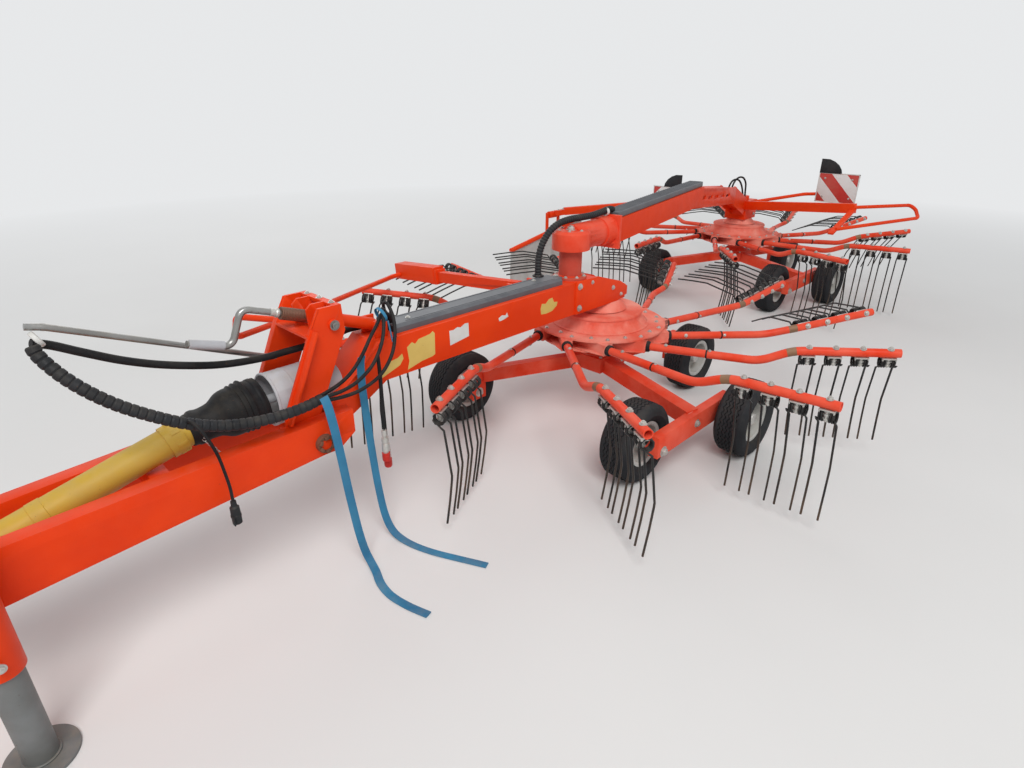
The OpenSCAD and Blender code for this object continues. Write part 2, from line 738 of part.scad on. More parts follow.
module gearbox_r() {
    color(ORANGE) shift() at_r() difference() {
        column_shape(436);
        translate([0, 0, 430]) cylinder(h = 40, r = 30 + run_gap);
    }
}

module guard_r() {
    color(ORANGE) shift() {
        bar([760, -3080, 872], [1695, -1600, 802], 48, 64);
        bx([1672, -1604, 774], [1718, -1486, 820]);
        difference() {
            union() {
                rod([1750, -1562, 780], [1750, -1448, 780], 30);
                bx([1700, -1556, 770], [1750, -1490, 805]);
            }
            rod([1750, -1600, 780], [1750, -1400, 780], 10 + run_gap);
        }
    }
}

// the curtain hangs tilted, its front end low
curtain_top = [[-960, 520], [-1930, 700]];

module curtain() {
    color(WHITE) shift() {
        side([curtain_top[0], curtain_top[1], [-1930, 250], [-960, 90]], 1746, 1754);
    }
}

module curtain_bar() {
    color(ORANGE) shift() {
        rod([1750, curtain_top[0][0], curtain_top[0][1] + 12],
            [1750, curtain_top[1][0], curtain_top[1][1] + 12], 20);
        for (y = [-1590, -1438]) {
            bx([1738, y, 620], [1762, y + 16, 800]);
        }
        rod([1750, -1588, 780], [1750, -1424, 780], 10);
    }
}

module guard_l() {
    color(ORANGE) shift() {
        bar([640, -2965, 822], [-385, -2850, 912], 46, 76);
        bar([-372, -2860, 905], [-352, -2470, 752], 44, 14);
        run([[-372, -2840, 920], [-660, -3500, 900], [-740, -3370, 815], [-372, -2520, 784]], 14, 50);
    }
}

module panels() {
    color(WHITE) shift() {
        bx([-170, -3540, 846], [190, -3528, 1112]);
        bx([1280, -3012, 706], [1650, -3000, 918]);
    }
}

// black fins on the panels
module panel_fins() {
    fin = [[0, 0], [200, 0], [188, 40], [160, 78], [118, 108], [70, 126], [0, 128]];
    color(BLACK) shift() {
        translate([190, -3528, 1104]) mirror([1, 0, 0]) rotate([90, 0, 0]) linear_extrude(12) polygon(fin);
        translate([1330, -3000, 912]) rotate([90, 0, 0]) linear_extrude(12) polygon(fin);
    }
}

module panel_arms() {
    color(ORANGE) shift() {
        run([[790, -3150, 835], [1180, -3027, 840], [1560, -3027, 840]], 15, 60);
        run([[620, -3150, 835], [300, -3555, 900], [10, -3555, 930]], 15, 60);
    }
}

beam_f();
cover_f();
shaft_can();
post();
gearbox_f();
chassis_f();
brackets_f();
guard_f();
drawbar();
tower();
headstock();
jack_leg();
spindle();
crank();
power_shaft();
bellows();
yoke();
hose_rod();
rotor_f_hub();
rotor_f_arms();
rotor_f_tines();
rotor_f_clamps();
tyre_f1();
rim_f1();
tyre_f2();
rim_f2();
tyre_f3();
rim_f3();
tyre_f4();
rim_f4();
hose_bundle();
hose_fan();
drop_hoses();
lead();
straps();
rear_hoses();
swivel();
beam_r();
cover_r();
gearbox_r();
guard_r();
curtain();
curtain_bar();
guard_l();
panels();
panel_fins();
panel_arms();
chassis_r();
rotor_r_hub();
rotor_r_arms();
rotor_r_tines();
rotor_r_clamps();
tyre_r1();
rim_r1();
tyre_r2();
rim_r2();
tyre_r3();
rim_r3();
tyre_r4();
rim_r4();
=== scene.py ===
"""Dresses the twin rotor hay rake: finishes, wheels, tines, covers, hoses and the studio."""

from __future__ import annotations

import json
import logging
import math
from dataclasses import dataclass, field, replace

import bpy
from mathutils import Matrix, Vector

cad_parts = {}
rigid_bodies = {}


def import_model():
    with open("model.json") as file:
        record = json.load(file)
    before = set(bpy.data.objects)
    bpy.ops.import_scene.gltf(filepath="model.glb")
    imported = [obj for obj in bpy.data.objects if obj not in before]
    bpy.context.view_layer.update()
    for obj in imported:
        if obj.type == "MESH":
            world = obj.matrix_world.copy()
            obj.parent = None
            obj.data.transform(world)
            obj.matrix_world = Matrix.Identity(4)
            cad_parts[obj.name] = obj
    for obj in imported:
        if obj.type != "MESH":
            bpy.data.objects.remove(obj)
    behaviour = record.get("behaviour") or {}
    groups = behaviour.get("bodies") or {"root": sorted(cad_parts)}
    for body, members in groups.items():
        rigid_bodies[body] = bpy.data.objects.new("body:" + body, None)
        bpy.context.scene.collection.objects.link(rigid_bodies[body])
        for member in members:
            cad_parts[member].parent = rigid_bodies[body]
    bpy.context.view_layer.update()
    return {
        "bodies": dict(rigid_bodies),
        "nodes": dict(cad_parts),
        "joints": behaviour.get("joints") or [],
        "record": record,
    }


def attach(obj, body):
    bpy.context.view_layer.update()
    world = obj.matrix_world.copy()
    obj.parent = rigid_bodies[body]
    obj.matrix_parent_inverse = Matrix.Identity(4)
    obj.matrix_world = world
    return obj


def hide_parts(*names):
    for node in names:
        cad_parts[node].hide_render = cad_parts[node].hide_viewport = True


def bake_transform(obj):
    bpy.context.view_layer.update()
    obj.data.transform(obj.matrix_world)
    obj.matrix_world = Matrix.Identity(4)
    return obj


LOG = logging.getLogger("rake")
SHIFT = Vector((-0.350, 0.220, 0.0))

Colour = tuple[float, float, float]
Item = bpy.types.Object
Socket = bpy.types.NodeSocket


def place(x: float, y: float, z: float) -> Vector:
    """Turn a point of the machine's own frame into the shared frame.

    Args:
        x: Metres to the right of travel from the front rotor's axis.
        y: Metres forwards from the main beam's origin.
        z: Metres above the ground.

    Returns:
        The same point in the shared frame.
    """
    return Vector((x, y, z)) + SHIFT


class Nodes:
    """Short hand for building a material's node tree."""

    def __init__(self, name: str) -> None:
        """Start an empty material with an output and a principled shader.

        Args:
            name: The material's name.
        """
        self.material = bpy.data.materials.new(name)
        self.material.use_nodes = True
        self.tree = self.material.node_tree
        self.tree.nodes.clear()
        self.output = self.add("OutputMaterial")
        self.shader = self.add("BsdfPrincipled")
        self.join(self.shader.outputs["BSDF"], self.output.inputs["Surface"])
        self.coords = self.add("TexCoord")

    def add(self, kind: str) -> bpy.types.Node:
        """Add a shader node of one kind."""
        return self.tree.nodes.new(f"ShaderNode{kind}")

    def join(self, source: Socket, target: Socket) -> None:
        """Link one socket to another."""
        self.tree.links.new(source, target)

    def noise(self, scale: float, detail: float = 3.0, rough: float = 0.55) -> Socket:
        """Add a noise pattern on object coordinates.

        Args:
            scale: Size of the pattern, in repeats a metre.
            detail: Octaves of the pattern.
            rough: How strong the fine octaves are.

        Returns:
            The pattern's factor socket.
        """
        node = self.add("TexNoise")
        node.inputs["Scale"].default_value = scale
        node.inputs["Detail"].default_value = detail
        node.inputs["Roughness"].default_value = rough
        self.join(self.coords.outputs["Object"], node.inputs["Vector"])
        return node.outputs["Fac"]

    def ramp(self, value: Socket, low: float, high: float) -> Socket:
        """Stretch a value between two limits to the full range from 0 to 1.

        Args:
            value: The socket to stretch.
            low: The value that becomes 0.
            high: The value that becomes 1.

        Returns:
            The stretched and clamped value's socket.
        """
        node = self.add("MapRange")
        node.inputs["From Min"].default_value = low
        node.inputs["From Max"].default_value = high
        self.join(value, node.inputs["Value"])
        return node.outputs["Result"]

    def mix(self, factor: Socket, first: Colour | Socket, second: Colour | Socket) -> Socket:
        """Mix two colours.

        Args:
            factor: Share of the second colour.
            first: The colour at 0.
            second: The colour at 1.

        Returns:
            The mixed colour's socket.
        """
        node = self.add("Mix")
        node.data_type = "RGBA"
        self.join(factor, node.inputs[0])
        for source, target in ((first, node.inputs[6]), (second, node.inputs[7])):
            if isinstance(source, tuple):
                target.default_value = (*source, 1.0)
            else:
                self.join(source, target)
        return node.outputs[2]

    def math(self, kind: str, first: Socket | float, second: Socket | float = 0.0) -> Socket:
        """Add one sum.

        Args:
            kind: The name of the operation.
            first: Its first value.
            second: Its second value.

        Returns:
            The result's socket.
        """
        node = self.add("Math")
        node.operation = kind
        for index, value in enumerate((first, second)):
            if isinstance(value, Socket):
                self.join(value, node.inputs[index])
            else:
                node.inputs[index].default_value = value
        return node.outputs[0]

    def bump(self, height: Socket, depth: float, strength: float = 0.6) -> None:
        """Give the shader a bumpy surface.

        Args:
            height: The pattern that raises the surface.
            depth: Height of the bumps in metres.
            strength: How much of it shows.
        """
        node = self.add("Bump")
        node.inputs["Distance"].default_value = depth
        node.inputs["Strength"].default_value = strength
        self.join(height, node.inputs["Height"])
        self.join(node.outputs["Normal"], self.shader.inputs["Normal"])


@dataclass(frozen=True)
class Finish:
    """A weathered finish: a main colour, a second tone, dust from above and grime in patches."""

    name: str
    slot: str
    colour: Colour
    tone: Colour
    roughness: float = 0.45
    metallic: float = 0.0
    dust: Colour = (0.42, 0.34, 0.24)
    dust_share: float = 0.25
    speck: Colour = (0.10, 0.05, 0.03)
    speck_share: float = 0.12
    scale: float = 6.0
    grain: float = 220.0
    depth: float = 0.0006
    shine: float = 0.3
    low: Colour | None = None
    low_top: float = 0.42

    def build(self) -> bpy.types.Material:
        """Make the material of this finish, or give the one that is there."""
        label = f"{self.name}_worn"
        made = bpy.data.materials.get(label)
        if made:
            return made
        nodes = Nodes(label)
        shader = nodes.shader
        cloud = nodes.ramp(nodes.noise(self.scale, 4.0), 0.35, 0.65)
        colour = nodes.mix(cloud, self.colour, self.tone)
        chips = nodes.ramp(nodes.noise(self.scale * 14.0, 5.0, 0.7), 0.66, 0.70)
        colour = nodes.mix(nodes.math("MULTIPLY", chips, self.speck_share * 5.0), colour, self.speck)
        if self.low:
            height = nodes.add("SeparateXYZ")
            nodes.join(nodes.coords.outputs["Object"], height.inputs[0])
            clean = nodes.ramp(height.outputs["Z"], self.low_top * 0.3, self.low_top)
            worn = nodes.math("SUBTRACT", 1.0, clean)
            colour = nodes.mix(nodes.math("MULTIPLY", worn, cloud), colour, self.low)
        up = nodes.add("NewGeometry")
        split = nodes.add("SeparateXYZ")
        nodes.join(up.outputs["Normal"], split.inputs[0])
        top = nodes.ramp(split.outputs["Z"], -0.2, 1.0)
        patch = nodes.ramp(nodes.noise(self.scale * 3.0, 6.0, 0.65), 0.38, 0.72)
        dust = nodes.math("MULTIPLY", nodes.math("MULTIPLY", top, patch), self.dust_share)
        colour = nodes.mix(dust, colour, self.dust)
        nodes.join(colour, shader.inputs["Base Color"])
        rough = nodes.math("ADD", nodes.math("MULTIPLY", patch, 0.18), self.roughness - 0.08)
        nodes.join(rough, shader.inputs["Roughness"])
        shader.inputs["Metallic"].default_value = self.metallic
        shader.inputs["Specular IOR Level"].default_value = self.shine
        nodes.bump(nodes.noise(self.grain, 3.0), self.depth)
        return nodes.material


ORANGE = Finish("orange_paint", "orange_paint", (0.82, 0.052, 0.004), (0.76, 0.043, 0.004), 0.42,
                dust_share=0.09, speck_share=0.06, shine=0.15)
ARM_PAINT = Finish("arm_paint", "orange_paint", (0.78, 0.046, 0.012), (0.84, 0.110, 0.060), 0.40,
                   dust_share=0.10, shine=0.12)
HUB_PAINT = Finish("hub_paint", "orange_paint", (0.80, 0.120, 0.072), (0.88, 0.310, 0.235), 0.60,
                   dust_share=0.14, speck_share=0.10, shine=0.12)
POST_PAINT = Finish("post_paint", "orange_paint", (0.52, 0.060, 0.036), (0.58, 0.100, 0.066), 0.55,
                    dust_share=0.25, shine=0.15)
BROWN = Finish("brown_steel", "bare_steel", (0.120, 0.062, 0.042), (0.190, 0.085, 0.052), 0.55,
               metallic=0.3, dust_share=0.2)
RED = Finish("red_paint", "orange_paint", (0.55, 0.020, 0.012), (0.48, 0.018, 0.010), 0.42, dust_share=0.12)
BLACK_PLASTIC = Finish("black_plastic", "black_plastic", (0.016, 0.017, 0.019), (0.028, 0.029, 0.032),
                       0.52, dust_share=0.12, shine=0.15)
COVER = Finish("cover_plastic", "black_plastic", (0.095, 0.099, 0.108), (0.125, 0.130, 0.140), 0.48,
               dust_share=0.20, dust=(0.36, 0.36, 0.36))
RUBBER = Finish("black_rubber", "black_rubber", (0.012, 0.012, 0.013), (0.022, 0.022, 0.024), 0.58,
                dust_share=0.09, shine=0.12)
TYRE = Finish("tyre_rubber", "tyre", (0.022, 0.023, 0.026), (0.034, 0.035, 0.038), 0.80, dust_share=0.22,
              shine=0.10, dust=(0.20, 0.17, 0.13))
RIM = Finish("rim_paint", "rim_white", (0.52, 0.515, 0.490), (0.42, 0.415, 0.390), 0.5, dust_share=0.4,
             speck_share=0.2)
WIRE = Finish("tine_wire", "spring_steel", (0.010, 0.010, 0.011), (0.018, 0.017, 0.017), 0.42,
              dust_share=0.08, low=(0.095, 0.058, 0.036))
SCRAPED = Finish("scraped_band", "bare_steel", (0.30, 0.15, 0.075), (0.22, 0.13, 0.080), 0.6, metallic=0.2)
ZINC = Finish("zinc_plate", "zinc", (0.60, 0.59, 0.56), (0.46, 0.45, 0.42), 0.40, metallic=0.6,
              speck_share=0.10)
STEEL = Finish("bare_steel", "bare_steel", (0.34, 0.34, 0.33), (0.24, 0.235, 0.225), 0.40, metallic=0.8,
               speck_share=0.2)
GREY = Finish("grey_paint", "grey_paint", (0.20, 0.21, 0.21), (0.14, 0.145, 0.14), 0.5, metallic=0.2,
              speck_share=0.2)
YELLOW = Finish("yellow_guard", "yellow_plastic", (0.62, 0.395, 0.050), (0.54, 0.345, 0.052), 0.5,
                dust_share=0.25, speck_share=0.1, shine=0.2)
SHEET = Finish("curtain_sheet", "curtain_sheet", (0.50, 0.50, 0.48), (0.40, 0.40, 0.38), 0.6,
               dust_share=0.35, speck_share=0.06)
PALE = Finish("pale_plastic", "rim_white", (0.72, 0.71, 0.68), (0.60, 0.59, 0.56), 0.5)
CAN = Finish("grey_can", "bare_steel", (0.50, 0.50, 0.52), (0.38, 0.38, 0.40), 0.5, dust_share=0.4,
             speck_share=0.2)
BLUE = Finish("blue_webbing", "blue_strap", (0.050, 0.235, 0.395), (0.038, 0.165, 0.300), 0.8,
              dust_share=0.2, shine=0.1)
STICKER = Finish("blank_sticker", "yellow_plastic", (0.70, 0.50, 0.14), (0.62, 0.42, 0.10), 0.55,
                 dust_share=0.2, speck_share=0.15)


class Bench:
    """Blender's own modelling tools, used on one new piece at a time."""

    @staticmethod
    def clear() -> None:
        """Leave edit mode and deselect everything."""
        if bpy.context.mode != "OBJECT":
            bpy.ops.object.mode_set(mode="OBJECT")
        bpy.ops.object.select_all(action="DESELECT")

    @staticmethod
    def pick(item: Item) -> None:
        """Make one object the only selected and active one."""
        Bench.clear()
        item.select_set(True)
        bpy.context.view_layer.objects.active = item

    @staticmethod
    def linked(name: str, data: bpy.types.ID) -> Item:
        """Put new data into the scene as the one picked object."""
        item = bpy.data.objects.new(name, data)
        bpy.context.scene.collection.objects.link(item)
        Bench.pick(item)
        return item

    @staticmethod
    def cleaned(item: Item, gap: float = 0.0) -> Item:
        """Merge a mesh's points that are closer than a gap and face its sides outwards."""
        Bench.pick(item)
        bpy.ops.object.mode_set(mode="EDIT")
        bpy.ops.mesh.select_all(action="SELECT")
        if gap:
            bpy.ops.mesh.remove_doubles(threshold=gap)
        bpy.ops.mesh.normals_make_consistent(inside=False)
        bpy.ops.object.mode_set(mode="OBJECT")
        return item

    @staticmethod
    def settle(item: Item) -> Item:
        """Move an object's place, turn and size into its mesh."""
        Bench.pick(item)
        bpy.ops.object.transform_apply(location=True, rotation=True, scale=True)
        return item

    @staticmethod
    def modify(item: Item, kind: str, **values: object) -> Item:
        """Add a modifier, set it and apply it.

        Args:
            item: The mesh object.
            kind: The modifier's type.
            **values: Its settings.

        Returns:
            The same object.
        """
        Bench.pick(item)
        modifier = item.modifiers.new(kind.lower(), kind)
        for key, value in values.items():
            setattr(modifier, key, value)
        bpy.ops.object.modifier_apply(modifier=modifier.name)
        return item

    @staticmethod
    def soften(item: Item, width: float, segments: int = 2) -> Item:
        """Round an object's sharp edges."""
        return Bench.modify(item, "BEVEL", width=width, segments=segments, limit_method="ANGLE",
                            angle_limit=0.6)

    @staticmethod
    def block(low: Vector, high: Vector, soft: float = 0.002, segments: int = 2) -> Item:
        """Make a box between two corners with rounded edges."""
        Bench.clear()
        bpy.ops.mesh.primitive_cube_add(size=1.0, location=(low + high) / 2)
        item = bpy.context.object
        item.scale = high - low
        Bench.settle(item)
        return Bench.soften(item, soft, segments) if soft else item

    @staticmethod
    def rod(start: Vector, end: Vector, radius: float, sides: int = 24, soft: float = 0.0) -> Item:
        """Make a round bar between two points."""
        Bench.clear()
        run = end - start
        turn = run.to_track_quat("Z", "Y").to_euler()
        bpy.ops.mesh.primitive_cylinder_add(
            vertices=sides, radius=radius, depth=run.length, location=(start + end) / 2, rotation=turn
        )
        item = Bench.settle(bpy.context.object)
        return Bench.soften(item, soft) if soft else item

    @staticmethod
    def turned(profile: list[tuple[float, float]], sides: int, closed: bool = False) -> Item:
        """Turn a profile about Z by extruding and resizing a ring step by step.

        Args:
            profile: Radius and height of each step, in metres.
            sides: Corners of the ring.
            closed: Whether the last step meets the first one again.

        Returns:
            The turned piece, with its ends filled unless it is closed.
        """
        Bench.clear()
        radius, height = profile[0]
        bpy.ops.mesh.primitive_circle_add(vertices=sides, radius=radius, location=(0.0, 0.0, height))
        item = Bench.settle(bpy.context.object)
        bpy.ops.object.mode_set(mode="EDIT")
        bpy.ops.mesh.select_all(action="SELECT")
        if not closed:
            bpy.ops.mesh.edge_face_add()
            bpy.ops.mesh.select_all(action="SELECT")
        steps = profile[1:] + ([profile[0]] if closed else [])
        for next_radius, next_height in steps:
            bpy.ops.mesh.extrude_region_move(
                TRANSFORM_OT_translate={"value": (0.0, 0.0, next_height - height)}
            )
            share = next_radius / radius
            bpy.ops.transform.resize(value=(share, share, 1.0), center_override=(0.0, 0.0, next_height))
            radius, height = next_radius, next_height
        bpy.ops.object.mode_set(mode="OBJECT")
        return Bench.cleaned(item, 0.00001 if closed else 0.0)

    @staticmethod
    def tube(points: list[Vector], radius: float, sides: int = 12, wall: float = 0.0) -> Item:
        """Sweep a round section along points, as a curve made into a mesh.

        Args:
            points: The points it passes through.
            radius: Outer radius.
            sides: Corners of the section.
            wall: Wall thickness of an open pipe, or 0 for closed ends.

        Returns:
            The mesh object.
        """
        Bench.clear()
        curve = bpy.data.curves.new("tube", "CURVE")
        curve.dimensions = "3D"
        curve.bevel_depth = radius
        curve.bevel_resolution = max(0, sides // 4 - 1)
        curve.use_fill_caps = wall == 0.0
        spline = curve.splines.new("POLY")
        spline.points.add(len(points) - 1)
        for point, target in zip(points, spline.points):
            target.co = (*point, 1.0)
        Bench.linked("tube", curve)
        bpy.ops.object.convert(target="MESH")
        item = bpy.context.object
        if wall:
            Bench.modify(item, "SOLIDIFY", thickness=wall, offset=-1.0)
        return item

    @staticmethod
    def plate(outline: list[tuple[float, float]], thick: float, soft: float = 0.0008) -> Item:
        """Cut a flat plate in the XY plane from an outline, its middle at height 0."""
        Bench.clear()
        curve = bpy.data.curves.new("plate", "CURVE")
        curve.dimensions = "2D"
        curve.fill_mode = "BOTH"
        curve.extrude = thick / 2 - soft
        curve.bevel_depth = soft
        curve.offset = -soft
        curve.bevel_resolution = 0
        spline = curve.splines.new("POLY")
        spline.points.add(len(outline) - 1)
        for point, target in zip(outline, spline.points):
            target.co = (*point, 0.0, 1.0)
        spline.use_cyclic_u = True
        Bench.linked("plate", curve)
        bpy.ops.object.convert(target="MESH")
        return Bench.cleaned(bpy.context.object, 0.00005)

    @staticmethod
    def moved(item: Item, matrix: Matrix) -> Item:
        """Move a mesh by a matrix."""
        item.data.transform(matrix)
        if matrix.determinant() < 0.0:
            item.data.flip_normals()
        return item

    @staticmethod
    def copies(item: Item, places: list[Matrix]) -> Item:
        """Copy a piece to each place, each with its own mesh, and join the copies."""
        made = []
        for place_matrix in places:
            copy = item.copy()
            copy.data = item.data.copy()
            bpy.context.scene.collection.objects.link(copy)
            made.append(Bench.moved(copy, place_matrix))
        bpy.data.objects.remove(item)
        return Bench.joined(made)

    @staticmethod
    def joined(items: list[Item]) -> Item:
        """Join meshes into one object."""
        Bench.clear()
        for item in items:
            item.select_set(True)
        bpy.context.view_layer.objects.active = items[0]
        bpy.ops.object.join()
        return bpy.context.object

    @staticmethod
    def finished(
        item: Item | list[Item], name: str, finish: Finish, body: str,
        nodes: tuple[str, ...] = (), angle: float = 0.6,
    ) -> Item:
        """Name a piece, give it its finish and body, and log it.

        Args:
            item: The mesh object, or a list of them to join.
            name: The piece's name.
            finish: Its finish.
            body: The body it rides on, or the name of a bend, which leaves it unparented with its place baked
                into its mesh.
            nodes: The CAD nodes it stands for.
            angle: Edges flatter than this are shaded smooth.

        Returns:
            The same object.
        """
        if isinstance(item, list):
            item = Bench.joined(item)
        item.name = name
        item.data.name = name
        item.data.materials.clear()
        item.data.materials.append(finish.build())
        Bench.pick(item)
        bpy.ops.object.shade_smooth_by_angle(angle=angle)
        if body in BENDS:
            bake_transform(item)
        else:
            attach(item, body)
        if nodes:
            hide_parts(*nodes)
        LOG.info("%s on %s: %d faces", name, body, len(item.data.polygons))
        return item


UP = Vector((0.0, 0.0, 1.0))
DRAWBAR_BEND = "drawbar_bend"
REAR_BEND = "rear_bend"
BENDS = {
    DRAWBAR_BEND: ("main", "drawbar", (-0.19, 2.0, 0.75), (-0.08, 2.66, 1.05)),
    REAR_BEND: ("main", "rear_beam", (0.057, 0.560, 0.905), (0.054, 0.514, 1.082)),
}


def move_by(way: Vector | tuple[float, float, float]) -> Matrix:
    """Give the matrix of a move."""
    return Matrix.Translation(way)


def turn_by(angle: float, axis: str) -> Matrix:
    """Give the matrix of a turn about one axis."""
    return Matrix.Rotation(angle, 4, axis)


ALONG_X = turn_by(math.pi / 2, "Y")


def laid(start: Vector, end: Vector) -> Matrix:
    """Give the matrix that lays the Z axis from one point towards another."""
    return move_by(start) @ (end - start).to_track_quat("Z", "Y").to_matrix().to_4x4()


def circle(centre: Vector, radius: float, count: int) -> list[Vector]:
    """List the points of a closed level circle, with the first one again at its end."""
    angles = [2 * math.pi * index / count for index in range(count + 1)]
    return [centre + Vector((radius * math.cos(angle), radius * math.sin(angle), 0.0)) for angle in angles]


def bolt(spot: Vector, out: Vector, size: float = 0.009, height: float = 0.006) -> Item:
    """Make a hexagon bolt head on a washer.

    Args:
        spot: Where it sits on the surface.
        out: Direction away from the surface.
        size: Half the width across its corners.
        height: Height of the head.

    Returns:
        The joined bolt head, washer and thread end.
    """
    up = out.normalized()
    washer = Bench.rod(spot - up * 0.001, spot + up * 0.0018, size * 1.35, 20)
    head = Bench.rod(spot, spot + up * (0.0018 + height), size, 6, size * 0.08)
    thread = Bench.rod(spot, spot + up * (0.0018 + height * 1.5), size * 0.5, 12)
    return Bench.joined([washer, head, thread])


def rounded(corners: list[Vector], radius: float, steps: int) -> list[Vector]:
    """Round the corners of a line of points.

    Args:
        corners: The corner points, ends included.
        radius: How far from each corner its bend starts.
        steps: Points along each bend.

    Returns:
        The points with each inner corner replaced by a short curve.
    """
    points = [corners[0]]
    for before, corner, after in zip(corners, corners[1:], corners[2:]):
        reach = min(radius, (corner - before).length * 0.45, (after - corner).length * 0.45)
        start = corner + (before - corner).normalized() * reach
        end = corner + (after - corner).normalized() * reach
        for index in range(steps + 1):
            share = index / steps
            points.append(start.lerp(corner, share).lerp(corner.lerp(end, share), share))
    points.append(corners[-1])
    return points


WHEEL_RADIUS = 0.205
FRONT_AXIS = place(0.0, 0.08, 0.0)
REAR_AXIS = place(0.70, -3.08, 0.0)
WHEEL_SPOTS = {
    "f": ((0.480, 0.740, 1.0), (-0.620, 0.580, 1.0), (-0.890, -0.030, -1.0), (-0.240, -0.600, -1.0)),
    "r": ((1.180, -2.420, 1.0), (0.080, -2.580, 1.0), (-0.190, -3.190, -1.0), (0.460, -3.760, -1.0)),
}


@dataclass
class Wheel:
    """One small implement wheel: a tyre with zigzag ribs, and what is bolted to its rim."""

    body: str
    tyre_node: str
    centre: Vector
    outward: float
    radius: float = WHEEL_RADIUS
    ribs: int = 6
    pitches: int = 40
    wave: float = 0.0038
    groove: float = 0.008
    bolt_circle: float = 0.046
    bolts: int = 5

    def profile(self) -> list[tuple[float, float]]:
        """List radius and sideways place of each step of the tyre's section.

        Returns:
            The steps from the bead on one side round the tread to the other, and back inside.
        """
        side = [(0.1055, 0.0515), (0.112, 0.056), (0.119, 0.0585), (0.124, 0.064), (0.1262, 0.070),
                (0.129, 0.0715), (0.138, 0.0785), (0.150, 0.0818), (0.1535, 0.0838), (0.157, 0.0822),
                (0.170, 0.0812), (0.183, 0.0775), (0.192, 0.0705), (0.1985, 0.0625)]
        edge = 0.0575
        width = 2 * edge / self.ribs
        tread: list[tuple[float, float]] = []
        for index in range(self.ribs):
            left = edge - index * width
            right = left - width
            gap = 0.0030
            crown = self.radius - 0.0042 * (((left + right) / 2) / edge) ** 2
            start = left if index == 0 else left - gap
            stop = right if index == self.ribs - 1 else right + gap
            tread += [(crown, start), (crown, stop)]
            if index < self.ribs - 1:
                tread += [(crown - self.groove, stop - 0.0006), (crown - self.groove, right - gap + 0.0006)]
        other = [(radius, -place_x) for radius, place_x in reversed(side)]
        return side + tread + other

    def tyre(self) -> Item:
        """Turn the tyre and push its tread's corners into a zigzag."""
        item = Bench.turned(self.profile(), self.pitches * 4, closed=True)
        bpy.ops.object.mode_set(mode="EDIT")
        bpy.ops.mesh.select_all(action="DESELECT")
        bpy.ops.object.mode_set(mode="OBJECT")
        step = 2 * math.pi / (self.pitches * 4)
        for sign in (1.0, -1.0):
            for vertex in item.data.vertices:
                count = round(math.atan2(vertex.co.y, vertex.co.x) / step)
                reach = math.hypot(vertex.co.x, vertex.co.y)
                on_side = (count % 4 < 2) == (sign > 0)
                vertex.select = reach > self.radius - 0.0135 and abs(vertex.co.z) < 0.055 and on_side
            bpy.ops.object.mode_set(mode="EDIT")
            bpy.ops.transform.translate(value=(0.0, 0.0, sign * self.wave))
            bpy.ops.mesh.select_all(action="DESELECT")
            bpy.ops.object.mode_set(mode="OBJECT")
        return item

    def fittings(self) -> Item:
        """Make the hub cap, wheel bolts and valve on the outer side of the rim."""
        hub, face = (0.052, 0.020) if self.outward > 0 else (0.040, -0.012)
        cap = Bench.turned([(0.0335, hub - 0.006), (0.0338, hub + 0.003), (0.0290, hub + 0.010),
                            (0.0120, hub + 0.0125), (0.0010, hub + 0.0130)], 28)
        parts = [cap]
        for index in range(self.bolts):
            turn = 2 * math.pi * index / self.bolts
            spot = Vector((math.cos(turn) * self.bolt_circle, math.sin(turn) * self.bolt_circle, face))
            parts.append(bolt(spot, UP, 0.0085, 0.007))
        stem = [Vector((0.084, 0.0, face - 0.008)), Vector((0.087, 0.0, face + 0.014)),
                Vector((0.084, 0.0, face + 0.030))]
        parts.append(Bench.tube(stem, 0.0035, 8))
        return Bench.joined(parts)

    def build(self) -> None:
        """Place the wheel's pieces."""
        turn = turn_by(math.pi / 2 * self.outward, "Y")
        spot = move_by(self.centre)
        tyre = Bench.moved(self.tyre(), spot @ turn)
        Bench.finished(tyre, f"{self.tyre_node}_tread", TYRE, self.body, (self.tyre_node,), 0.5)
        extra = Bench.moved(self.fittings(), spot @ turn)
        Bench.finished(extra, f"{self.body}_fittings", ZINC, self.body)


@dataclass(frozen=True)
class Arm:
    """One arm: direction about the rotor, roll of the cam, lift and sideways play, in degrees."""

    direction: float
    roll: float
    lift: float
    play: float


FRONT_ARMS = (
    Arm(37.3, 40, -1.6, -2.5), Arm(70.0, 8, 0.5, 0), Arm(102.7, 0, 1.0, 3.0), Arm(135.5, 0, 1.9, 2.5),
    Arm(168.2, 0, 1.9, 2.0), Arm(200.9, 12, 1.5, -2.0), Arm(233.6, 72, -1.4, -3.5),
    Arm(266.4, 92, -3.2, -3.5), Arm(299.1, 96, -3.8, -3.5), Arm(331.8, 94, -3.6, -1.5),
    Arm(4.6, 88, -2.8, -0.5),
)
REAR_ARMS = (
    Arm(20.9, 50, -1.8, 0), Arm(53.6, 20, 0.5, 0), Arm(86.4, 0, 1, 0.5), Arm(119.1, 0, 1, 0),
    Arm(151.8, 0, 0.5, 0), Arm(184.5, 0, 0, 0), Arm(217.3, 40, -1.4, 0), Arm(250.0, 75, -2.2, 0),
    Arm(282.7, 90, -3, 0), Arm(315.5, 90, -3, 0), Arm(348.2, 85, -3, 0),
)


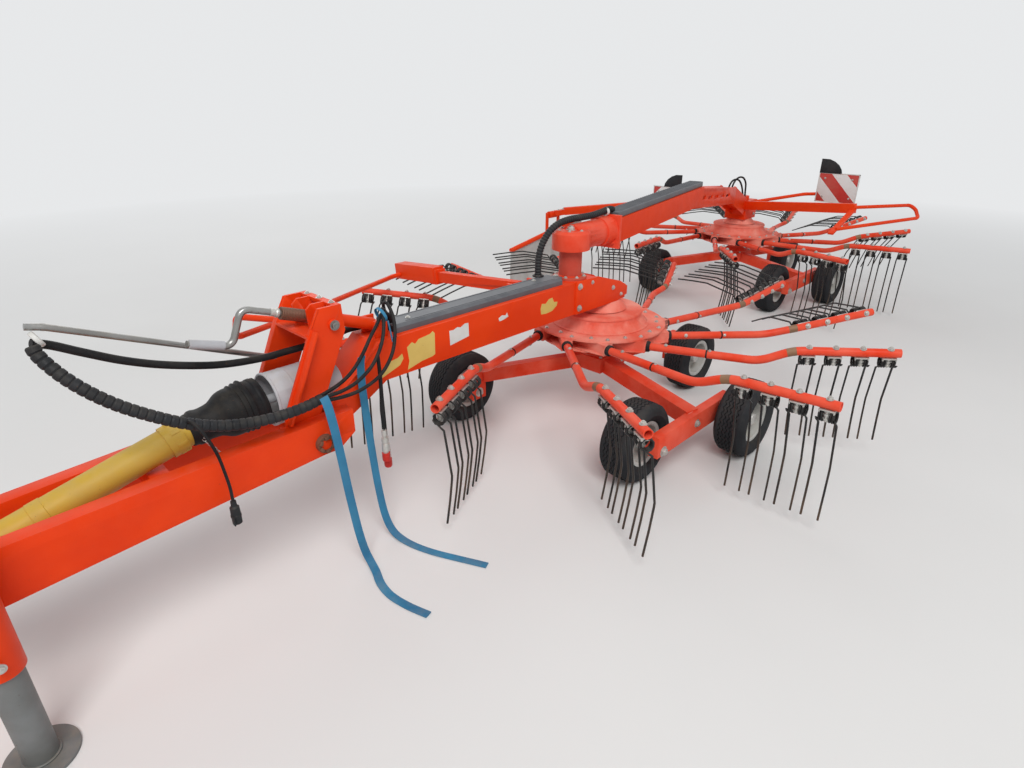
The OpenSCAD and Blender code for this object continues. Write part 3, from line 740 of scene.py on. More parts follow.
@dataclass
class Rotor:
    """A rotor's hub, its arms with their bends and rings, the clamps and the sprung tines."""

    key: str
    body: str
    axis: Vector
    arms: tuple[Arm, ...]
    arm_z: float = 0.520
    arm_off: float = 0.222
    arm_r: float = 0.021
    sleeve_u: float = 0.325
    step_u: float = 0.895
    step_l: float = 0.150
    step_h: float = 0.064
    step_w: float = 0.034
    tip_w: float = 0.124
    tip_u: float = 1.500
    wire_r: float = 0.0050
    coil_r: float = 0.0305
    coil_drop: float = 0.0520
    plate_r: float = 0.372
    drum_r: float = 0.235
    clamps: tuple[float, ...] = (1.110, 1.225, 1.340, 1.455)

    def piece(self, item: Item, name: str, finish: Finish, node: str = "", angle: float = 0.6) -> None:
        """Finish one of the rotor's pieces, whose name and node both start with the rotor's key."""
        nodes = (f"{self.key}_{node}",) if node else ()
        Bench.finished(item, f"{self.key}_{name}", finish, self.body, nodes, angle)

    def arm_places(self) -> list[Matrix]:
        """Give each arm's matrix: along X, turned, lifted and rolled in its sleeve."""
        places = []
        for arm in self.arms:
            turn = turn_by(math.radians(arm.direction), "Z")
            move = move_by((self.sleeve_u, -self.arm_off, self.arm_z))
            play = turn_by(math.radians(arm.play), "Z")
            lift = turn_by(math.radians(-arm.lift), "Y")
            roll = turn_by(math.radians(arm.roll), "X")
            back = move_by((-self.sleeve_u, 0.0, 0.0))
            places.append(move_by(self.axis) @ turn @ move @ play @ lift @ roll @ back)
        return places

    def tip_run(self) -> float:
        """Length of the outer tube along the arm."""
        return self.tip_u - self.step_u - self.step_l

    def clamp_places(self) -> list[Matrix]:
        """Give each clamp's matrix, under the outer tube."""
        angle = math.atan2(self.tip_w - self.step_w, self.tip_run())
        turn = turn_by(angle, "Z")
        places = []
        for arm in self.arm_places():
            for along in self.clamps:
                share = (along - self.step_u - self.step_l) / self.tip_run()
                side = self.step_w + (self.tip_w - self.step_w) * share
                places.append(arm @ move_by((along, side, self.step_h)) @ turn)
        return places

    def arm_line(self) -> list[Vector]:
        """List points along the arm's middle, with both bends rounded."""
        corners = [Vector((self.sleeve_u - 0.02, 0.0, 0.0)), Vector((self.step_u, 0.0, 0.0)),
                   Vector((self.step_u + self.step_l, self.step_w, self.step_h)),
                   Vector((self.tip_u, self.tip_w, self.step_h))]
        return rounded(corners, 0.055, 5)

    def arm_tubes(self) -> None:
        """Make the bent tubes, open at their tips."""
        tube = Bench.tube(self.arm_line(), self.arm_r, 20, wall=0.004)
        item = Bench.copies(tube, self.arm_places())
        self.piece(item, "arm_tubes", ARM_PAINT, "arms", 0.7)

    def arm_rings(self) -> None:
        """Make the black seal at each sleeve's end and the band of the inner tube."""
        radius = self.arm_r
        seal = Bench.turned([(radius + 0.0005, -0.012), (0.0285, -0.012), (0.0295, -0.009), (0.0295, 0.004),
                             (0.026, 0.009), (radius + 0.0005, 0.011)], 28)
        Bench.moved(seal, move_by((self.sleeve_u + 0.012, 0.0, 0.0)) @ ALONG_X)
        band = Bench.turned([(radius - 0.001, -0.004), (radius + 0.0012, -0.004), (radius + 0.0018, 0.0),
                             (radius + 0.0012, 0.004), (radius - 0.001, 0.004)], 28)
        Bench.moved(band, move_by((0.640, 0.0, 0.0)) @ ALONG_X)
        item = Bench.copies(Bench.joined([seal, band]), self.arm_places())
        self.piece(item, "arm_rings", RUBBER)

    def arm_scrapes(self) -> None:
        """Make the brown scraped band at each arm's outer bend."""
        start = self.step_u + self.step_l
        line = [spot for spot in self.arm_line() if start - 0.045 < spot.x < start + 0.020]
        item = Bench.copies(Bench.tube(line, self.arm_r + 0.0004, 20, wall=0.0002), self.arm_places())
        self.piece(item, "arm_scrapes", SCRAPED, angle=0.7)

    def arm_bolts(self) -> None:
        """Make the bolts through each arm inside its sleeve's end and at the band."""
        parts = [bolt(Vector((0.430, 0.0, self.arm_r - 0.0005)), UP, 0.0075, 0.005),
                 bolt(Vector((0.430, 0.0, -self.arm_r + 0.0005)), -UP, 0.0075, 0.005),
                 bolt(Vector((0.655, 0.0, self.arm_r - 0.0005)), UP, 0.006, 0.004)]
        item = Bench.copies(Bench.joined(parts), self.arm_places())
        self.piece(item, "arm_bolts", ZINC)

    def clamp_set(self) -> None:
        """Make the clamps: a saddle under the tube, a washer stack and a bolt through both."""
        radius = self.arm_r
        saddle = Bench.block(Vector((-0.031, -0.021, -radius - 0.006)),
                             Vector((0.031, 0.021, -radius + 0.001)), 0.0022)
        ears = [Bench.block(Vector((side * 0.028 - 0.003, -0.019, -radius - 0.014)),
                            Vector((side * 0.028 + 0.003, 0.019, -radius - 0.003)), 0.0012)
                for side in (-1, 1)]
        stack = Bench.turned([(0.013, -0.068), (0.015, -0.066), (0.015, -0.062), (0.0115, -0.061),
                              (0.0115, -0.050), (0.0150, -0.049), (0.0150, -0.040), (0.0115, -0.039),
                              (0.0115, -0.030), (0.0165, -0.029), (0.0165, -0.026)], 16)
        head = bolt(Vector((0.0, 0.0, radius - 0.0006)), UP, 0.0115, 0.008)
        nut = bolt(Vector((0.0, 0.0, -0.067)), Vector((0.0, 0.0, -1.0)), 0.0105, 0.006)
        unit = Bench.joined([saddle, *ears, stack, head, nut])
        item = Bench.copies(unit, self.clamp_places())
        self.piece(item, "clamp_sets", ZINC, "clamps")

    def wire_line(self, side: float) -> list[Vector]:
        """List points of one sprung wire: its coil beside the clamp and its long bent leg.

        Args:
            side: Which side of the clamp it stands on, -1 or 1.

        Returns:
            The points from the clamp's middle through the coil to the tip.
        """
        turns, steps = 2.75, 10
        mid = Vector((0.0, 0.008, -self.coil_drop))
        reach = self.coil_r - self.wire_r
        points = [mid + Vector((side * 0.004, 0.0, reach))]
        count = int(turns * steps)
        for index in range(count + 1):
            angle = math.pi / 2 - 2 * math.pi * index / steps
            along = 0.0085 + 0.0270 * index / count
            points.append(mid + Vector((side * along, math.cos(angle) * reach, math.sin(angle) * reach)))
        foot = 0.0355
        for y, z in ((0.030, -0.100), (0.044, -0.200), (0.0555, -0.285), (0.0585, -0.305), (0.0575, -0.325),
                     (0.046, -0.430), (0.029, -0.550)):
            points.append(Vector((side * foot, y, z)))
        return points

    def tines(self) -> None:
        """Make the black coils and their double tines."""
        wires = [Bench.tube(self.wire_line(side), self.wire_r, 8) for side in (-1.0, 1.0)]
        item = Bench.copies(Bench.joined(wires), self.clamp_places())
        self.piece(item, "tine_wires", WIRE, "tines", 1.2)

    def hub_parts(self) -> None:
        """Make the drum's lid and skirt, the plate's rim and the plate's bolts."""
        base, drum, plate = self.arm_z, self.drum_r, self.plate_r
        top = base + 0.116
        lid = Bench.turned([(0.100, top - 0.010), (drum - 0.004, top - 0.010), (drum + 0.0035, top - 0.014),
                            (drum + 0.0045, top - 0.008), (drum + 0.002, top - 0.001),
                            (drum - 0.006, top + 0.0022), (0.100, top + 0.0008)], 96)
        skirt = Bench.turned([(drum + 0.036, base + 0.040), (drum + 0.0445, base + 0.0385),
                              (drum + 0.0450, base + 0.0425), (drum + 0.034, base + 0.0475)],
                             96, closed=True)
        rim = Bench.turned([(plate - 0.004, base + 0.029), (plate + 0.0015, base + 0.0285),
                            (plate + 0.0025, base + 0.034), (plate + 0.0015, base + 0.0392),
                            (plate - 0.004, base + 0.0388)], 120, closed=True)
        item = Bench.moved(Bench.joined([lid, skirt, rim]), move_by(self.axis))
        self.piece(item, "drum_rims", HUB_PAINT)
        heads = []
        for arm in self.arms:
            for spread, reach in ((-19.0, 0.325), (-4.0, 0.345)):
                angle = math.radians(arm.direction + spread - 30.0)
                spot = Vector((math.cos(angle) * reach, math.sin(angle) * reach, self.arm_z + 0.038))
                heads.append(bolt(spot, UP, 0.0090, 0.0055))
        item = Bench.moved(Bench.joined(heads), move_by(self.axis))
        self.piece(item, "plate_bolts", ZINC)

    def sleeves(self) -> None:
        """Make the round collar and the two fins of the flared sleeve round each arm."""
        collar = Bench.turned([(0.0225, -0.060), (0.0300, -0.058), (0.0305, -0.004), (0.0285, 0.001),
                               (0.0225, 0.001)], 24)
        Bench.moved(collar, move_by((self.sleeve_u + 0.004, 0.0, 0.0)) @ ALONG_X)
        fins = []
        for side in (-1.0, 1.0):
            outline = [(0.150, side * 0.030), (0.312, side * 0.030), (0.312, side * 0.034),
                       (0.262, side * 0.052), (0.150, side * 0.076)]
            fin = Bench.plate(outline, 0.005)
            fins.append(Bench.moved(fin, move_by((0.0, 0.0, 0.026 - 0.052 * (side < 0)))))
        unit = Bench.joined([collar, *fins])
        places = []
        for arm in self.arms:
            turn = turn_by(math.radians(arm.direction), "Z")
            places.append(move_by(self.axis) @ turn @ move_by((0.0, -self.arm_off, self.arm_z)))
        item = Bench.copies(unit, places)
        self.piece(item, "sleeve_collars", HUB_PAINT)

    def build(self) -> None:
        """Make every piece of the rotor."""
        self.arm_tubes()
        self.arm_rings()
        self.arm_scrapes()
        self.arm_bolts()
        self.clamp_set()
        self.tines()
        self.hub_parts()
        self.sleeves()


Route = tuple[tuple[float, float, float], ...]

BUNDLE_ROUTE: Route = (
    (-0.03, 2.69, 1.112), (-0.04, 2.686, 1.09), (-0.06, 2.672, 1.06), (-0.088, 2.645, 1.018),
    (-0.115, 2.604, 0.97), (-0.138, 2.55, 0.92), (-0.155, 2.48, 0.868), (-0.168, 2.4, 0.818),
    (-0.18, 2.31, 0.78), (-0.19, 2.22, 0.76), (-0.196, 2.13, 0.752), (-0.2, 2.04, 0.754),
    (-0.2, 1.965, 0.764),
)
FAN_ROUTES: tuple[Route, ...] = (
    ((-0.19, 1.967, 0.77), (-0.184, 1.89, 0.786), (-0.165, 1.82, 0.808), (-0.136, 1.75, 0.848),
     (-0.108, 1.69, 0.896), (-0.084, 1.64, 0.93), (-0.06, 1.604, 0.954), (-0.046, 1.574, 0.954),
     (-0.04, 1.548, 0.934), (-0.038, 1.532, 0.906), (-0.038, 1.527, 0.88)),
    ((-0.206, 1.967, 0.768), (-0.202, 1.88, 0.768), (-0.186, 1.8, 0.78), (-0.16, 1.72, 0.812),
     (-0.134, 1.66, 0.868), (-0.104, 1.622, 0.926), (-0.066, 1.598, 0.97), (-0.034, 1.576, 0.968),
     (-0.018, 1.55, 0.944), (-0.013, 1.532, 0.91), (-0.013, 1.526, 0.88)),
    ((-0.2, 1.967, 0.753), (-0.2, 1.87, 0.742), (-0.192, 1.79, 0.744), (-0.172, 1.7, 0.764),
     (-0.15, 1.63, 0.816), (-0.126, 1.59, 0.88), (-0.096, 1.57, 0.944), (-0.052, 1.562, 0.988),
     (-0.008, 1.552, 0.98), (0.008, 1.538, 0.936), (0.011, 1.528, 0.884)),
)
RETURN_ROUTE: Route = (
    (0.028, 2.684, 1.104), (0.036, 2.64, 1.084), (0.046, 2.57, 1.04), (0.055, 2.47, 0.982),
    (0.06, 2.35, 0.93), (0.06, 2.2, 0.886), (0.057, 2.06, 0.868), (0.054, 1.94, 0.868),
    (0.054, 1.85, 0.868), (0.058, 1.76, 0.872), (0.068, 1.69, 0.882), (0.076, 1.62, 0.878),
    (0.077, 1.54, 0.8725), (0.077, 1.44, 0.8725),
)
DROP_ROUTES: tuple[Route, ...] = (
    ((-0.147, 1.69, 0.832), (-0.138, 1.682, 0.78), (-0.128, 1.676, 0.7), (-0.124, 1.674, 0.64),
     (-0.122, 1.672, 0.56), (-0.122, 1.672, 0.47)),
    ((-0.17, 1.702, 0.758), (-0.164, 1.7, 0.69), (-0.152, 1.698, 0.61), (-0.15, 1.696, 0.57),
     (-0.15, 1.696, 0.52)),
)
LEAD_ROUTE: Route = (
    (-0.184, 2.4, 0.828), (-0.2, 2.398, 0.836), (-0.22, 2.39, 0.826), (-0.235, 2.378, 0.798),
    (-0.242, 2.366, 0.76), (-0.243, 2.354, 0.71), (-0.242, 2.346, 0.65), (-0.24, 2.34, 0.59),
    (-0.24, 2.34, 0.54),
)
STRAP_ROUTES: tuple[Route, ...] = (
    ((-0.217, 1.968, 0.776), (-0.228, 1.962, 0.74), (-0.232, 1.95, 0.64), (-0.231, 1.938, 0.52),
     (-0.23, 1.928, 0.4), (-0.229, 1.916, 0.28), (-0.228, 1.902, 0.16), (-0.232, 1.888, 0.07),
     (-0.25, 1.88, 0.022), (-0.3, 1.89, 0.006), (-0.37, 1.915, 0.003), (-0.45, 1.925, 0.003),
     (-0.54, 1.912, 0.003), (-0.63, 1.886, 0.003)),
    ((-0.133, 1.751, 0.842), (-0.118, 1.75, 0.8), (-0.11, 1.748, 0.7), (-0.112, 1.744, 0.56),
     (-0.116, 1.738, 0.4), (-0.122, 1.73, 0.24), (-0.134, 1.72, 0.11), (-0.16, 1.708, 0.036),
     (-0.21, 1.696, 0.008), (-0.29, 1.68, 0.003), (-0.38, 1.65, 0.003), (-0.48, 1.604, 0.003),
     (-0.589, 1.553, 0.003)),
)
REAR_ROUTE: Route = (
    (0.056, 0.56, 0.9), (0.057, 0.56, 0.94), (0.058, 0.556, 0.985), (0.057, 0.542, 1.035),
    (0.054, 0.514, 1.082), (0.048, 0.474, 1.122), (0.04, 0.42, 1.148), (0.03, 0.35, 1.16),
    (0.02, 0.27, 1.162), (0.014, 0.2, 1.163), (0.014, 0.14, 1.167), (0.017, 0.085, 1.172),
    (0.021, 0.04, 1.176), (0.024, 0.008, 1.175), (0.026, -0.016, 1.17),
)
HEAD_ROUTES: tuple[Route, ...] = (
    ((0.65, -2.7, 0.882), (0.654, -2.718, 0.95), (0.656, -2.745, 1.02), (0.65, -2.785, 1.068),
     (0.64, -2.84, 1.085), (0.632, -2.9, 1.07), (0.63, -2.95, 1.02), (0.64, -2.985, 0.95),
     (0.646, -3.01, 0.863)),
    ((0.68, -2.7, 0.882), (0.682, -2.712, 0.95), (0.684, -2.735, 1.01), (0.684, -2.78, 1.05),
     (0.68, -2.84, 1.062), (0.672, -2.9, 1.046), (0.668, -2.95, 1), (0.666, -2.985, 0.94),
     (0.664, -3.01, 0.863)),
)


def smooth_route(route: Route, steps: int) -> list[Vector]:
    """Draw a smooth line through a route's points, in the shared frame.

    Args:
        route: The points in the machine's frame.
        steps: Points between one route point and the next.

    Returns:
        Points of a curve that passes through all of them.
    """
    spots = [place(*point) for point in route]
    padded_spots = [spots[0] * 2 - spots[1], *spots, spots[-1] * 2 - spots[-2]]
    line = []
    for before, here, there, after in zip(padded_spots, padded_spots[1:], padded_spots[2:], padded_spots[3:]):
        for index in range(steps):
            t = index / steps
            curve = 2 * before - 5 * here + 4 * there - after
            twist = 3 * here - before - 3 * there + after
            line.append(0.5 * (2 * here + (there - before) * t + curve * t ** 2 + twist * t ** 3))
    line.append(spots[-1])
    return line


def line_length(line: list[Vector]) -> float:
    """Add up a line's length."""
    return sum((b - a).length for a, b in zip(line, line[1:]))


def even_line(line: list[Vector], spacing: float) -> list[Vector]:
    """Space points evenly along a line."""
    count = max(2, round(line_length(line) / spacing))
    step = line_length(line) / count
    made = [line[0].copy()]
    gone = 0.0
    for start, end in zip(line, line[1:]):
        run = (end - start).length
        while len(made) < count and gone + run >= step * len(made):
            made.append(start.lerp(end, (step * len(made) - gone) / run))
        gone += run
    made.append(line[-1].copy())
    return made


def swept(
    line: list[Vector], wide: float, high: float, wide_way: Vector, sides: int, groove: int = 0
) -> Item:
    """Sweep an oval section along a line.

    Args:
        line: The points it follows.
        wide: The section's width.
        high: The section's height.
        wide_way: The direction that the width lies towards.
        sides: Corners of the section.
        groove: Every how many points the section narrows, as on a wound sleeve, or 0.

    Returns:
        The closed mesh object.
    """
    corners = []
    last = len(line) - 1
    for index, spot in enumerate(line):
        along = (line[min(index + 1, last)] - line[max(index - 1, 0)]).normalized()
        side = (wide_way - along * wide_way.dot(along)).normalized()
        up = along.cross(side)
        share = 0.84 if groove and index % groove == 0 else 1.0
        for corner in range(sides):
            angle = 2 * math.pi * (corner + 0.5) / sides
            corners.append(spot + (side * math.cos(angle) * wide + up * math.sin(angle) * high) * share / 2)
    faces = [tuple(reversed(range(sides))), tuple(range(last * sides, (last + 1) * sides))]
    for index in range(last):
        for corner in range(sides):
            a = index * sides + corner
            b = index * sides + (corner + 1) % sides
            faces.append((a, b, b + sides, a + sides))
    mesh = bpy.data.meshes.new("swept")
    mesh.from_pydata(corners, [], faces)
    return Bench.cleaned(Bench.linked("swept", mesh))


@dataclass
class Cord:
    """A hose, cable or strap along one of the part's routes."""

    name: str
    node: str
    route: Route
    wide: float
    high: float
    finish: Finish = RUBBER
    body: str = "main"
    far_end: str = "object"
    stiffness: str = "medium"
    lay: str = "hanging"
    wide_way: Vector = field(default_factory=lambda: Vector((1.0, 0.0, 0.1)))
    sides: int = 14
    spacing: float = 0.012
    groove: int = 0
    with_pieces: tuple[str, ...] = ()

    def build(self) -> None:
        line = even_line(smooth_route(self.route, 8), self.spacing)
        item = swept(line, self.wide, self.high, self.wide_way, self.sides, self.groove)
        Bench.finished(item, self.name, self.finish, self.body, (self.node,), 0.42 if self.groove else 0.9)
        LOG.info("%s is %.3f m long", self.name, line_length(line))


@dataclass
class Hoses:
    """Everything that hangs or lies loose on the rake."""

    def coupling(self, name: str, node: str, low: Vector) -> tuple[str, str]:
        """Make a hose end's grey coupling and its red cap.

        Args:
            name: What both names start with.
            node: The CAD node that they stand for.
            low: The hose's lowest point.

        Returns:
            The names of both pieces.
        """
        body = Bench.turned([(0.0078, -0.004), (0.0105, -0.005), (0.0110, -0.030), (0.0085, -0.033),
                             (0.0085, -0.038), (0.0135, -0.040), (0.0138, -0.058), (0.0115, -0.060),
                             (0.0115, -0.066), (0.0145, -0.068), (0.0148, -0.100), (0.0120, -0.103),
                             (0.0120, -0.1095)], 24)
        Bench.moved(body, move_by(low))
        Bench.finished(body, f"{name}_coupling", ZINC, "main", (node,), 0.5)
        cap = Bench.turned([(0.0150, -0.1085), (0.0168, -0.1095), (0.0168, -0.116), (0.0158, -0.117),
                            (0.0158, -0.121), (0.0168, -0.122), (0.0166, -0.141), (0.0140, -0.147),
                            (0.0050, -0.1485)], 24)
        Bench.moved(cap, move_by(low))
        Bench.finished(cap, f"{name}_cap", RED, "main", (node,), 0.5)
        return body.name, cap.name

    def plug(self) -> str:
        """Make the trailer plug on the cable's end."""
        low = place(*LEAD_ROUTE[-1])
        shell = Bench.turned([(0.0055, 0.000), (0.0090, -0.001), (0.0095, -0.018), (0.0150, -0.024),
                              (0.0158, -0.052), (0.0169, -0.053), (0.0169, -0.060), (0.0158, -0.061),
                              (0.0155, -0.0845), (0.0130, -0.085), (0.0128, -0.078), (0.0010, -0.078)], 28)
        lid = Bench.block(Vector((-0.020, 0.012, -0.084)), Vector((0.000, 0.0165, -0.052)), 0.0015)
        item = Bench.moved(Bench.joined([shell, lid]), move_by(low))
        Bench.finished(item, "lead_plug", BLACK_PLASTIC, DRAWBAR_BEND, ("lead",), 0.5)
        return item.name

    def ties(self) -> None:
        """Make the blue tie, the pale ring and the clip that gather the hoses."""
        tie = Bench.turned([(0.030, -0.006), (0.032, -0.006), (0.032, 0.006), (0.030, 0.006)], 24,
                           closed=True)
        Bench.moved(tie, move_by(place(-0.060, 1.602, 0.955)) @ turn_by(1.2, "X"))
        tail = Bench.block(Vector((0.0, -0.0035, -0.085)), Vector((0.0015, 0.0035, 0.0)), 0.0004)
        Bench.moved(tail, move_by(place(-0.088, 1.590, 0.935)) @ turn_by(0.25, "Y"))
        Bench.finished([tie, tail], "hose_tie", BLUE, "main")
        ring = Bench.turned([(0.0215, -0.007), (0.0245, -0.005), (0.0245, 0.005), (0.0215, 0.007)], 28,
                            closed=True)
        Bench.moved(ring, move_by(place(-0.008, 2.672, 1.122)) @ turn_by(1.1, "X"))
        Bench.finished(ring, "hose_ring", PALE, "drawbar")
        clip = Bench.turned([(0.0182, -0.009), (0.0215, -0.009), (0.0215, 0.009), (0.0182, 0.009)], 28,
                            closed=True)
        Bench.moved(clip, move_by(place(0.018, 0.060, 1.168)) @ turn_by(1.5, "X"))
        Bench.finished(clip, "rear_hose_clip", PALE, "rear_beam")

    def build(self) -> None:
        """Make every hose, cable and strap."""
        Cord("hose_bundle_sleeve", "hose_bundle", BUNDLE_ROUTE, 0.038, 0.038, BLACK_PLASTIC,
             sides=20, spacing=0.0045, groove=5, body=DRAWBAR_BEND).build()
        for index, route in enumerate(FAN_ROUTES, 1):
            Cord(f"fan_hose_{index}", "hose_fan", route, 0.014, 0.014).build()
        Cord("return_hose", "hose_fan", RETURN_ROUTE, 0.026, 0.026, sides=18, body=DRAWBAR_BEND).build()
        for index, route in enumerate(DROP_ROUTES, 1):
            ends = self.coupling(f"drop_hose_{index}", "drop_hoses", place(*route[-1]))
            Cord(f"drop_hose_{index}", "drop_hoses", route, 0.015, 0.015, far_end="fitting",
                 with_pieces=ends).build()
        Cord("lead_cable", "lead", LEAD_ROUTE, 0.010, 0.010, far_end="plug", sides=10, body=DRAWBAR_BEND,
             wide_way=Vector((0.0, 1.0, 0.0)), with_pieces=(self.plug(),)).build()
        for index, route in enumerate(STRAP_ROUTES, 1):
            Cord(f"blue_strap_{index}", "straps", route, 0.036, 0.005, BLUE, far_end="bare",
                 stiffness="limp", wide_way=Vector((0.0, 1.0, 0.0)), sides=8).build()
        Cord("rear_hose_sleeve", "rear_hoses", REAR_ROUTE, 0.036, 0.036, BLACK_PLASTIC,
             body=REAR_BEND, sides=20, spacing=0.005, groove=3).build()
        for index, route in enumerate(HEAD_ROUTES, 1):
            Cord(f"head_hose_{index}", "rear_hoses", route, 0.016, 0.016, body="rear_beam").build()
        self.ties()


SHARP_ANGLE = 0.55
MERGE_GAP = 0.00002
FLAT_ANGLE = 0.012
WELD_SPACING = 0.007
WELD_RIPPLE = 0.00035


def soften_outward(item: Item, width: float) -> None:
    """Round the sharp edges that stand out, and leave inner corners as they are.

    Args:
        item: The mesh to round.
        width: How wide the rounding is.
    """
    mesh = item.data
    sides = {}
    for face in mesh.polygons:
        corners = list(face.vertices)
        for first, second in zip(corners, corners[1:] + corners[:1]):
            sides[(first, second)] = face.normal.copy()
    weights = mesh.attributes.new("bevel_weight_edge", "FLOAT", "EDGE")
    for edge in mesh.edges:
        first, second = edge.vertices
        left, right = sides.get((first, second)), sides.get((second, first))
        if left and right and left.angle(right, 0.0) > SHARP_ANGLE:
            run = mesh.vertices[second].co - mesh.vertices[first].co
            if run.cross(right).dot(left) < 0.0:
                weights.data[edge.index].value = 1.0
    Bench.modify(item, "BEVEL", width=width, segments=2, limit_method="WEIGHT")


def softened(frame: dict, node: str, finish: Finish, width: float = 0.0025) -> None:
    """Copy a CAD node, merge its triangles, and round its sharp edges.

    Args:
        node: The node's name.
        finish: The copy's finish.
        width: How wide the rounding is.
    """
    source = frame["nodes"][node]
    item = source.copy()
    item.data = source.data.copy()
    item.parent = None
    item.matrix_world = Matrix.Identity(4)
    bpy.context.scene.collection.objects.link(item)
    for key in list(item.keys()):
        del item[key]
    Bench.pick(item)
    bpy.ops.object.mode_set(mode="EDIT")
    bpy.ops.mesh.select_all(action="SELECT")
    bpy.ops.mesh.remove_doubles(threshold=MERGE_GAP)
    bpy.ops.mesh.dissolve_limited(angle_limit=FLAT_ANGLE)
    bpy.ops.object.mode_set(mode="OBJECT")
    soften_outward(item, width)
    body = next(name for name, nodes in frame["record"]["behaviour"]["bodies"].items() if node in nodes)
    Bench.finished(item, f"{node}_shell", finish, body, (node,), 0.55)


SOFTENED = {
    "beam_f": ORANGE, "drawbar": ORANGE, "tower": ORANGE, "chassis_f": ARM_PAINT, "chassis_r": ARM_PAINT,
    "brackets_f": ORANGE, "guard_f": ORANGE, "guard_r": ORANGE, "guard_l": ORANGE, "beam_r": ORANGE,
    "headstock": ORANGE, "post": POST_PAINT, "swivel": ARM_PAINT, "gearbox_f": HUB_PAINT,
    "gearbox_r": HUB_PAINT, "shaft_can": CAN, "panel_arms": ORANGE, "panel_fins": BLACK_PLASTIC,
    "rotor_f_hub": HUB_PAINT, "rotor_r_hub": HUB_PAINT,
}


def weld(corners: list[Vector], radius: float = 0.0032) -> Item:
    """Lay a bead of weld along a line of corners."""
    line = even_line(corners, WELD_SPACING)
    bead = Bench.tube(line, radius, 8)
    for index, vertex in enumerate(bead.data.vertices):
        spot = vertex.co
        vertex.co = spot + Vector((math.sin(spot.y * 900.0), math.sin(spot.z * 800.0 + index),
                                   0.0)) * WELD_RIPPLE
    return bead


